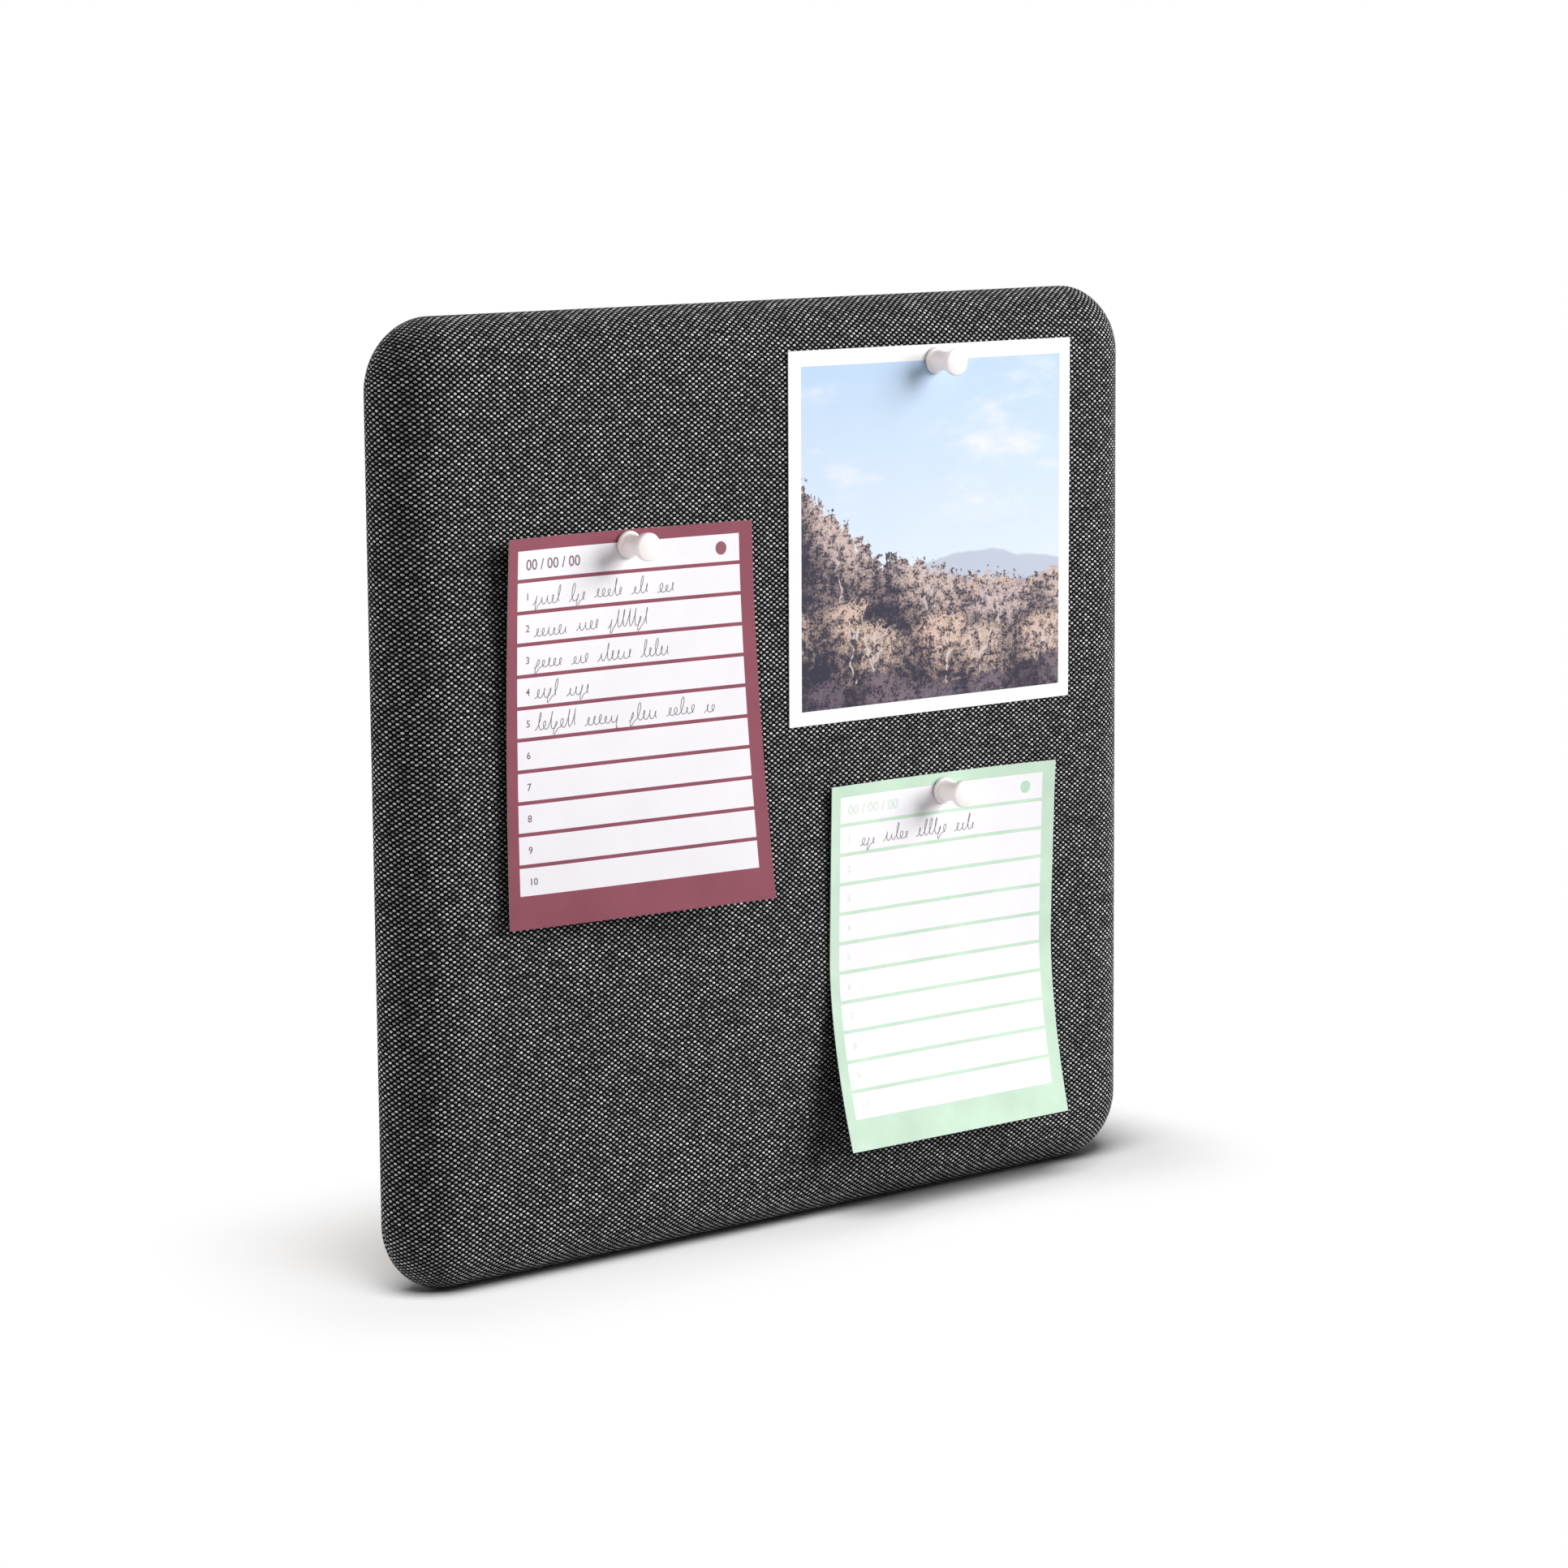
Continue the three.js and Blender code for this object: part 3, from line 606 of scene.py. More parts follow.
class Mottle(Effect):
    """Soft patches with finer specks in them, for moulded, sawn and pressed surfaces."""

    name = "mottle"
    numbers = {"Scale": 100.0, "Fine": 0.5}
    outputs = ("Tone", "Height")
    speck_scale = 9.0

    def lay(self, graph: Graph, place: Value, given: dict[str, Value]) -> dict[str, Value]:
        """Lays the mottle's nodes, as the base class says."""
        broad = graph.rough(place, given["Scale"], 3.0, 0.55)
        fine = graph.rough(place, given["Scale"] * self.speck_scale, 3.0, 0.7)
        return {"Tone": graph.blend(given["Fine"], broad, fine), "Height": fine}


class WoodGrain(Effect):
    """Growth rings and pores that run along X."""

    name = "wood grain"
    numbers = {"Rings": 260.0, "Pores": 0.5}
    outputs = ("Tone", "Height")
    stretch = (0.07, 1.0, 1.0)
    bend_scale = 28.0
    bend_reach = 0.018
    ring_slope = 0.45
    pore_scales = (90.0, 2600.0, 2600.0)

    def lay(self, graph: Graph, place: Value, given: dict[str, Value]) -> dict[str, Value]:
        """Lays the grain's nodes, as the base class says."""
        bent = graph.wander(graph.times(place, self.stretch), self.bend_scale, self.bend_reach)
        _, y, z = graph.parts(bent)
        rings = graph.math("FRACT", (z + y * self.ring_slope) * given["Rings"])
        late = rings**3.0 - rings.remap(0.93, 1.0)
        pores = graph.rough(graph.times(place, self.pore_scales), 1.0, 2.0, 0.6)
        return {"Tone": late * 0.75 + pores * given["Pores"], "Height": late * 0.5 - pores}


class WornMetal(Effect):
    """Fine spangle and hairline scratches of plated sheet and wire."""

    name = "worn metal"
    numbers = {"Scratch": 0.5}
    outputs = ("Tone", "Rough", "Height")
    spangle_scale = 900.0
    patch_scale = 160.0
    scratch_scales = ((300.0, 300.0, 9000.0), (7000.0, 700.0, 400.0))

    def lay(self, graph: Graph, place: Value, given: dict[str, Value]) -> dict[str, Value]:
        """Lays the metal's nodes, as the base class says."""
        spangle = graph.node("ShaderNodeTexVoronoi", {"Vector": place, "Scale": self.spangle_scale})
        grain = graph.parts(graph.out(spangle, "Color"))[0]
        patch = graph.rough(place, self.patch_scale, 3.0, 0.6)
        lines = [graph.rough(graph.times(place, scales), 1.0, 2.0, 0.7) for scales in self.scratch_scales]
        scratches = graph.math("MAXIMUM", *lines).remap(0.62, 0.78) * given["Scratch"]
        return {"Tone": grain * 0.35 + patch * 0.65, "Rough": patch * 0.5 + scratches, "Height": scratches}


class TreeRow(Effect):
    """A row of trees: domes of leaves with a ragged skyline, shaded by clump and leaf, over forked trunks."""

    name = "tree row"
    numbers = {"Crowding": 8.0, "Base": 0.25, "Spread": 0.1, "Dome": 0.07, "Ragged": 0.05, "Seed": 1.0}
    outputs = ("Mask", "Trunk", "Light", "Pick")
    leaf_scale = 130.0
    clump_scale = 38.0
    bough_scale = 11.0
    sway = 0.08
    clump_reach = 2.2
    edge = 0.003
    trunk_half_width = 0.0028
    trunk_drop = 0.09
    fork_drop = 0.13
    fork_slope = 0.38

    def stem(self, graph: Graph, distance: Value) -> Value:
        """Returns 1 on a stem that runs where a distance is nought."""
        return graph.math("LESS_THAN", abs(distance), self.trunk_half_width)

    def lay(self, graph: Graph, place: Value, given: dict[str, Value]) -> dict[str, Value]:
        """Lays the trees' nodes, as the base class says."""
        seeded = graph.plus(place, graph.join(given["Seed"], 0.0))
        leaves = graph.rough(seeded, self.leaf_scale, 4.0, 0.7)
        clumps = graph.rough(seeded, self.clump_scale, 3.0, 0.55)
        boughs = graph.rough(seeded, self.bough_scale, 2.0)
        across, up, _ = graph.parts(place)
        along = (across + (boughs - 0.5) * self.sway) * given["Crowding"] + given["Seed"]
        trees = graph.node("ShaderNodeTexVoronoi", {"W": along, "Scale": 1.0}, voronoi_dimensions="1D")
        beside = graph.out(trees, "Distance")
        first, second, _ = graph.parts(graph.out(trees, "Color"))
        dome = graph.math("SQRT", (1.0 - beside**2.0).held())
        above = up - (given["Base"] + dome * given["Dome"] + (first - 0.5) * given["Spread"])
        ragged = ((leaves - 0.5) + (clumps - 0.5) * self.clump_reach) * given["Ragged"]

        out = beside / given["Crowding"]
        forked = (above + self.fork_drop) * self.fork_slope
        arms = self.stem(graph, out - forked) * graph.math("GREATER_THAN", forked, 0.0)
        trunk = graph.math("MAXIMUM", self.stem(graph, out), arms)
        trunk = trunk * graph.math("LESS_THAN", above, first * -self.trunk_drop)

        light = clumps.remap(0.4, 0.6) * 0.5 + leaves.remap(0.42, 0.58) * 0.5
        light = light * above.remap(-0.17, 0.0, 0.36, 1.2) * beside.remap(0.5, 0.2, 0.45, 1.0)
        return {
            "Mask": (above + ragged).remap(self.edge, -self.edge),
            "Trunk": trunk * clumps.remap(0.42, 0.5),
            "Light": light,
            "Pick": second * 0.6 + boughs * 0.5,
        }


@dataclass(frozen=True)
class FormLayout:
    """Where a note's border, header and rows lie on the flat sheet."""

    width: float = 101.6
    left: float = 4.1
    right: float = 5.5
    top: float = 4.0
    header: float = 9.1
    rule: float = 1.22
    pitch: float = 10.3
    rows: int = 10


class RuledForm(Effect):
    """A coloured border round a header and rows, as a mask that is 1 on the border's ink."""

    name = "ruled form"
    numbers = {name.capitalize(): float(value) for name, value in asdict(FormLayout()).items()}
    outputs = ("Ink",)
    edge = 0.05

    def between(self, value: Value, low: Feed, high: Feed) -> Value:
        """Returns 1 where a number lies between two others, with soft ends."""
        return (value - low).remap(-self.edge, self.edge) * (high - value).remap(-self.edge, self.edge)

    def lay(self, graph: Graph, place: Value, given: dict[str, Value]) -> dict[str, Value]:
        """Lays the form's nodes, as the base class says."""
        across, down, _ = graph.parts(place)
        columns = self.between(across, given["Left"], given["Width"] - given["Right"])
        header_end = given["Top"] + given["Header"]
        header = self.between(down, given["Top"], header_end)
        past = down - (header_end + given["Rule"])
        row = graph.math("FLOOR", past / given["Pitch"])
        box = self.between(past - row * given["Pitch"], 0.0, given["Pitch"] - given["Rule"])
        rows = self.between(row, -0.5, given["Rows"] - 0.5)
        return {"Ink": 1.0 - (header + box * rows).held() * columns}


# Finishes


@dataclass(frozen=True)
class Finish:
    """A surface's colours and gloss, and the material made from them."""

    name: str

    def looks(self, graph: Graph) -> dict[str, Feed]:
        """Lays what the material's surface is made from.

        Args:
            graph: The material's nodes.

        Returns:
            What goes into each input of its Principled BSDF, by name.
        """
        raise NotImplementedError

    def material(self) -> bpy.types.Material:
        """Returns the material, built on first use."""
        label = f"{self.name}_look"
        found = bpy.data.materials.get(label)
        if found:
            return found
        made = bpy.data.materials.new(label)
        made.use_nodes = True
        graph = Graph(made.node_tree)
        graph.fill(made.node_tree.nodes["Principled BSDF"], self.looks(graph))
        return made


@dataclass(frozen=True)
class WovenFinish(Finish):
    """The heathered cover cloth."""

    dark: Colour = srgb(6, 6, 7)
    dim: Colour = srgb(80, 80, 81)
    middle: Colour = srgb(174, 174, 175)
    bright: Colour = WHITE
    roughness: float = 0.92
    gloss: float = 0.06
    relief: float = 0.3

    def looks(self, graph: Graph) -> dict[str, Feed]:
        """Lays the cloth's nodes, as the base class says."""
        weave = BasketWeave().place(graph, graph.stored_place(CLOTH_PLACE))
        light = graph.ramp(weave["Shade"], [(0.1, self.dim), (0.5, self.middle), (0.9, self.bright)])
        colour = graph.mix(weave["Light"], self.dark, light)
        return {
            "Base Color": graph.shaded(colour, weave["Fibre"].remap(0.25, 0.75, 0.72, 1.2)),
            "Roughness": self.roughness,
            "Specular IOR Level": self.gloss,
            "Normal": graph.bump(weave["Height"], self.relief),
        }


@dataclass(frozen=True)
class NotePaperFinish(Finish):
    """Uncoated paper with a printed border and rows on its front."""

    ink: Colour = srgb(150, 88, 98)
    paper: Colour = srgb(253, 250, 255)
    back: Colour = srgb(246, 244, 247)
    ink_rise: float = 1.12
    roughness: float = 0.85
    ink_roughness: float = 0.7
    gloss: float = 0.14
    relief: float = 0.02

    def looks(self, graph: Graph) -> dict[str, Feed]:
        """Lays the note's nodes, as the base class says."""
        place = graph.stored_place(PAPER_PLACE)
        fibre = PaperFibre().place(graph, place)
        side = graph.parts(place)[2]
        printed = RuledForm().place(graph, place)["Ink"] * side.remap(0.2, 0.1)
        paler = (*(channel * self.ink_rise for channel in self.ink[:3]), 1.0)
        ink = graph.mix(fibre["Tone"].remap(0.35, 0.65), self.ink, paler)
        colour = graph.mix(printed, graph.mix(side, self.paper, self.back), ink)
        return {
            "Base Color": graph.shaded(colour, fibre["Tone"].remap(0.3, 0.7, 0.965, 1.02)),
            "Roughness": graph.blend(printed, self.roughness, self.ink_roughness),
            "Specular IOR Level": self.gloss,
            "Normal": graph.bump(fibre["Height"], self.relief),
        }


@dataclass(frozen=True)
class Trees:
    """One row of trees in the print's picture, in shares of the picture's side."""

    crowding: float
    base: float
    spread: float
    dome: float
    ragged: float
    rise: float
    seed: float
    leaves: tuple[Colour, ...]
    dark: Colour = srgb(48, 44, 62)
    bark: Colour = srgb(214, 200, 198)
    trunk: float = 0.0


@dataclass(frozen=True)
class Ridge:
    """One hazy hill behind the trees, in shares of the picture's side."""

    base: float
    sway: float
    seed: float
    haze: Colour


FAR_LEAVES = (srgb(238, 214, 200), srgb(230, 202, 186), srgb(222, 198, 190))
WARM_LEAVES = (srgb(255, 220, 184), srgb(232, 188, 156), srgb(250, 214, 188))
BROWN_LEAVES = (srgb(242, 206, 190), srgb(208, 184, 170), srgb(255, 222, 206))
DUSKY_LEAVES = (srgb(198, 180, 188), srgb(214, 190, 182), srgb(178, 164, 184))
DARK_LEAVES = (srgb(104, 94, 112), srgb(126, 110, 118), srgb(88, 80, 100))


@dataclass(frozen=True)
class PrintPaperFinish(Finish):
    """Satin photo paper with a white border round a plain autumn landscape."""

    border: Colour = srgb(252, 250, 253)
    margin: float = 5.4
    picture: float = 117.0
    edge: float = 0.0004
    sky_stops: tuple[tuple[float, Colour], ...] = (
        (0.3, srgb(230, 239, 248)),
        (0.62, srgb(216, 231, 248)),
        (1.0, srgb(194, 218, 245)),
    )
    cloud: Colour = srgb(250, 247, 251)
    cloud_scales: Point = (1.9, 4.2, 1.0)
    ridges: tuple[Ridge, ...] = (
        Ridge(0.4, 0.2, 3.0, srgb(196, 204, 220)),
        Ridge(0.34, 0.2, 11.0, srgb(168, 168, 180)),
    )
    rows: tuple[Trees, ...] = (
        Trees(11.0, 0.29, 0.05, 0.05, 0.05, 0.08, 3.0, FAR_LEAVES, srgb(190, 168, 172)),
        Trees(7.0, 0.25, 0.08, 0.09, 0.07, 0.1, 17.0, WARM_LEAVES, srgb(96, 82, 94), trunk=0.6),
        Trees(3.4, 0.17, 0.12, 0.16, 0.09, 0.34, 29.0, DUSKY_LEAVES, trunk=0.8),
        Trees(4.6, 0.09, 0.1, 0.15, 0.07, 0.06, 43.0, BROWN_LEAVES, trunk=1.0),
        Trees(6.0, -0.015, 0.06, 0.09, 0.05, 0.0, 57.0, DARK_LEAVES, srgb(40, 36, 54)),
    )
    roughness: float = 0.5
    picture_roughness: float = 0.42
    gloss: float = 0.2
    relief: float = 0.004

    def sky(self, graph: Graph, place: Value) -> Value:
        """Returns the sky's colours, with thin drifting cloud."""
        up = graph.parts(place)[1]
        drift = graph.rough(graph.times(place, self.cloud_scales), 1.0, 6.0, 0.62)
        cloud = drift.remap(0.5, 0.74, smooth=True) * up.remap(0.4, 0.6)
        return graph.mix(cloud * 0.8, graph.ramp(up, list(self.sky_stops)), self.cloud)

    def hills(self, graph: Graph, place: Value, colour: Value) -> Value:
        """Returns the picture's colours with the ridges before them."""
        across, up, _ = graph.parts(place)
        for ridge in self.ridges:
            broad = graph.rough(graph.join(across * 2.2, ridge.seed), 1.0, 4.0, 0.45)
            skyline = (broad - 0.5) * ridge.sway + ridge.base
            colour = graph.mix((skyline - up).remap(-0.003, 0.005), colour, ridge.haze)
        return colour

    def woods(self, graph: Graph, place: Value, colour: Value) -> Value:
        """Returns the picture's colours with the rows of trees before them, which rise to the left."""
        across = graph.parts(place)[0]
        taller = (1.0 - across).held() ** 3.0
        for row in self.rows:
            trees = TreeRow().place(
                graph, place, crowding=row.crowding, base=taller * row.rise + row.base, spread=row.spread,
                dome=row.dome, ragged=row.ragged, seed=row.seed,
            )
            last = len(row.leaves) - 1
            leaves = graph.ramp(trees["Pick"], [(at / last, leaf) for at, leaf in enumerate(row.leaves)])
            leaves = graph.mix(trees["Light"].remap(0.12, 0.6), row.dark, leaves)
            leaves = graph.mix(trees["Trunk"] * row.trunk, leaves, row.bark)
            colour = graph.mix(trees["Mask"], colour, leaves)
        return colour

    def looks(self, graph: Graph) -> dict[str, Feed]:
        """Lays the print's nodes, as the base class says."""
        place = graph.stored_place(PAPER_PLACE)
        across, down, side = graph.parts(place)
        u = (across - self.margin) / self.picture
        v = 1.0 - (down - self.margin) / self.picture
        inside = side.remap(0.2, 0.1)
        for value in (u, v):
            inside = inside * value.remap(-self.edge, self.edge) * value.remap(1 + self.edge, 1 - self.edge)
        spot = graph.join(u, v)
        picture = self.woods(graph, spot, self.hills(graph, spot, self.sky(graph, spot)))
        fibre = PaperFibre().place(graph, place)
        colour = graph.mix(inside, self.border, picture)
        return {
            "Base Color": graph.shaded(colour, fibre["Tone"].remap(0.3, 0.7, 0.985, 1.01)),
            "Roughness": graph.blend(inside, self.roughness, self.picture_roughness),
            "Specular IOR Level": self.gloss,
            "Normal": graph.bump(fibre["Height"], self.relief),
        }


@dataclass(frozen=True)
class MottledFinish(Finish):
    """A plain surface with a tone that varies a little, such as plastic, rubber, foam or pressed board."""

    low: Colour
    high: Colour
    scale: float
    fine: float
    roughness: Pair
    relief: float
    coat: float = 0.0
    glow: float = 0.0
    glow_reach: float = 0.004
    glow_shares: Point = (1.0, 0.96, 0.94)

    def looks(self, graph: Graph) -> dict[str, Feed]:
        """Lays the surface's nodes, as the base class says."""
        mottle = Mottle().place(graph, graph.object_place(), scale=self.scale, fine=self.fine)
        tone = mottle["Tone"].remap(0.3, 0.7)
        return {
            "Base Color": graph.mix(tone, self.low, self.high),
            "Roughness": graph.blend(tone, *self.roughness),
            "Coat Weight": self.coat,
            "Subsurface Weight": self.glow,
            "Subsurface Scale": self.glow_reach,
            "Subsurface Radius": self.glow_shares,
            "Normal": graph.bump(mottle["Height"], self.relief),
        }


@dataclass(frozen=True)
class WoodFinish(Finish):
    """Planed softwood with its grain along one axis."""

    early: Colour = srgb(224, 196, 152)
    late: Colour = srgb(182, 138, 88)
    upright: bool = False
    relief: float = 0.05

    def looks(self, graph: Graph) -> dict[str, Feed]:
        """Lays the wood's nodes, as the base class says."""
        axes = graph.parts(graph.object_place())
        grain = WoodGrain().place(graph, graph.join(*(axes[::-1] if self.upright else axes)))
        return {
            "Base Color": graph.mix(grain["Tone"].remap(0.1, 1.0), self.early, self.late),
            "Roughness": grain["Tone"].remap(0.0, 1.0, 0.72, 0.58),
            "Normal": graph.bump(grain["Height"], self.relief),
        }


@dataclass(frozen=True)
class MetalFinish(Finish):
    """Plated or drawn steel."""

    low: Colour
    high: Colour
    roughness: float
    scratch: float
    relief: float = 0.006

    def looks(self, graph: Graph) -> dict[str, Feed]:
        """Lays the metal's nodes, as the base class says."""
        worn = WornMetal().place(graph, graph.object_place(), scratch=self.scratch)
        return {
            "Base Color": graph.mix(worn["Tone"].remap(0.3, 0.7), self.low, self.high),
            "Roughness": (worn["Rough"] * 0.35 + self.roughness).held(),
            "Metallic": 1.0,
            "Normal": graph.bump(worn["Height"], self.relief),
        }


@dataclass(frozen=True)
class InkFinish(Finish):
    """A pen's or printer's line, a little uneven."""

    low: Colour
    high: Colour

    def looks(self, graph: Graph) -> dict[str, Feed]:
        """Lays the ink's nodes, as the base class says."""
        tone = Mottle().place(graph, graph.object_place(), scale=700.0, fine=0.3)["Tone"].remap(0.35, 0.65)
        return {"Base Color": graph.mix(tone, self.low, self.high), "Roughness": graph.blend(tone, 0.55, 0.7)}


WEAVE = WovenFinish("heathered_weave")
FOAM = MottledFinish(
    "open_cell_foam", srgb(226, 216, 188), srgb(242, 236, 214),
    scale=700.0, fine=0.6, roughness=(0.9, 0.98), relief=0.15,
)
FIBREBOARD = MottledFinish(
    "soft_fibreboard", srgb(166, 138, 100), srgb(198, 170, 128),
    scale=420.0, fine=0.6, roughness=(0.85, 0.95), relief=0.1,
)
HARDBOARD = MottledFinish(
    "hardboard", srgb(98, 72, 50), srgb(142, 108, 76),
    scale=620.0, fine=0.75, roughness=(0.42, 0.6), relief=0.05,
)
RUBBER = MottledFinish(
    "bumper_rubber", srgb(34, 34, 35), srgb(50, 50, 51),
    scale=500.0, fine=0.6, roughness=(0.7, 0.85), relief=0.03,
)
PIN_PLASTIC = MottledFinish(
    "pin_plastic", srgb(247, 234, 233), srgb(253, 243, 240),
    scale=260.0, fine=0.3, roughness=(0.4, 0.5), relief=0.004, coat=0.05, glow=0.7, glow_reach=0.005,
)
PINE_ACROSS = WoodFinish("pine_across")
PINE_UPRIGHT = WoodFinish("pine_upright", upright=True)
ZINC = MetalFinish("zinc_plate", srgb(176, 178, 180), srgb(214, 216, 218), 0.26, 0.5)
STAPLE_WIRE = MetalFinish("staple_wire", srgb(190, 190, 188), srgb(222, 222, 220), 0.24, 0.3)
NEEDLE_STEEL = MetalFinish("needle_steel", srgb(204, 205, 208), srgb(232, 233, 236), 0.12, 0.2)
MAROON_PAPER = NotePaperFinish("maroon_paper", srgb(146, 82, 96))
MINT_PAPER = NotePaperFinish("mint_paper", srgb(201, 226, 205))
PHOTO_PAPER = PrintPaperFinish("photo_paper")
PEN = InkFinish("pen_line", srgb(104, 94, 106), srgb(136, 126, 138))
GREY_PRINT = InkFinish("grey_numbers", srgb(118, 94, 106), srgb(134, 110, 120))
PALE_PRINT = InkFinish("pale_numbers", srgb(212, 231, 215), srgb(222, 238, 225))
MAROON_PRINT = InkFinish("maroon_mark", srgb(146, 84, 94), srgb(156, 94, 104))
MINT_PRINT = InkFinish("mint_mark", srgb(198, 233, 205), srgb(206, 238, 212))


def dress(piece: bpy.types.Object, finish: Finish) -> None:
    """Gives a piece one finish in place of any it has."""
    piece.data.materials.clear()
    piece.data.materials.append(finish.material())


def seat(piece: bpy.types.Object, finish: Finish, body: str, slot: str, *nodes: str) -> None:
    """Finishes a piece and lets it ride on a body in place of nodes.

    Args:
        piece: The piece.
        finish: Its finish.
        body: The body that it moves with.
        slot: The material slot of the record that its finish belongs to; it is not used.
        *nodes: The nodes that it stands for.
    """
    dress(piece, finish)
    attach(piece, body)
    if nodes:
        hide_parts(*nodes)
    log.info("%s rides on %s", piece.name, body)


# The board


@dataclass
class Station:
    """One place on the way round the board: a corner's turn, or a share along a side."""

    sign_x: float
    sign_z: float
    turn: float
    next_sign_x: float
    next_sign_z: float
    share: float = 0.0

    def normal(self) -> Pair:
        """Returns the direction that points out of the board here."""
        return math.cos(self.turn), math.sin(self.turn)


@dataclass
class BoardShape:
    """The rounded rectangle, and the three arcs that its edge turns in from the front to the back."""

    half_width: float
    half_height: float
    corner_radius: float = 23.8
    crown_radius: float = 38.0
    crown_turn: float = math.radians(14)
    shoulder_radius: float = 19.0
    shoulder_end: float = math.radians(71)
    edge_radius: float = 6.4
    side_flat: float = 0.4
    smallest_round: float = 0.5

    def step_in(self, point: Pair, distance: float, turn: float) -> Pair:
        """Moves a point of inset and depth inwards along the edge's normal."""
        return point[0] + distance * math.sin(turn), point[1] + distance * math.cos(turn)

    def centres(self) -> tuple[Pair, ...]:
        """Returns the centres of the crown's, the shoulder's and the edge's arc."""
        edge = (self.edge_radius, -(self.edge_radius + self.side_flat))
        shoulder = self.step_in(edge, self.shoulder_radius - self.edge_radius, self.shoulder_end)
        crown = self.step_in(shoulder, self.crown_radius - self.shoulder_radius, self.crown_turn)
        return crown, shoulder, edge

    def section(self, offset: float, setback: float, fineness: int) -> list[Pair]:
        """Follows the edge from the flat front to the flat back.

        Args:
            offset: How far inside the board's own face it runs.
            setback: How far its back lies in front of the wall.
            fineness: How finely each arc is divided.

        Returns:
            Inset and depth of each point.
        """
        crown, shoulder, edge = self.centres()
        back_radius = self.edge_radius - offset
        back = (self.edge_radius, -(setback + back_radius))
        runs = [
            (crown, self.crown_radius - offset, 0.0, self.crown_turn, 0, 2),
            (shoulder, self.shoulder_radius - offset, self.crown_turn, self.shoulder_end, 1, 4),
            (edge, back_radius, self.shoulder_end, QUARTER_TURN, 1, 1),
            (back, back_radius, QUARTER_TURN, 2 * QUARTER_TURN, 0, 3),
        ]
        points = []
        for centre, radius, start, end, first, share in runs:
            steps = share * fineness
            for step in range(first, steps + 1):
                turn = start + (end - start) * step / steps
                points.append(self.step_in(centre, -radius, turn))
        return points

    def stations(self, corner_steps: int, side_steps: int) -> list[Station]:
        """Goes round the board anticlockwise, from the right side's upper end.

        Args:
            corner_steps: How finely each corner is divided.
            side_steps: How finely each side is divided.

        Returns:
            The places on the way.
        """
        signs = [(1, 1), (-1, 1), (-1, -1), (1, -1)]
        found = []
        for corner, (sign_x, sign_z) in enumerate(signs):
            following = signs[(corner + 1) % 4]
            for step in range(corner_steps + 1):
                turn = QUARTER_TURN * (corner + step / corner_steps)
                found.append(Station(sign_x, sign_z, turn, *following))
            for step in range(1, side_steps):
                turn = QUARTER_TURN * (corner + 1)
                found.append(Station(sign_x, sign_z, turn, *following, step / side_steps))
        return found

    def at(self, station: Station, inset: float) -> Pair:
        """Finds a station's place on a ring that runs inside the board's outline.

        Args:
            station: The place on the way round.
            inset: How far in from the sides the ring runs.

        Returns:
            The place's X and Z.
        """
        radius = max(self.corner_radius - inset, self.smallest_round)
        reach_x, reach_z = self.half_width - inset - radius, self.half_height - inset - radius
        out_x, out_z = station.normal()
        share = station.share
        centre_x = station.sign_x * (1 - share) + station.next_sign_x * share
        centre_z = station.sign_z * (1 - share) + station.next_sign_z * share
        return reach_x * centre_x + radius * out_x, reach_z * centre_z + radius * out_z


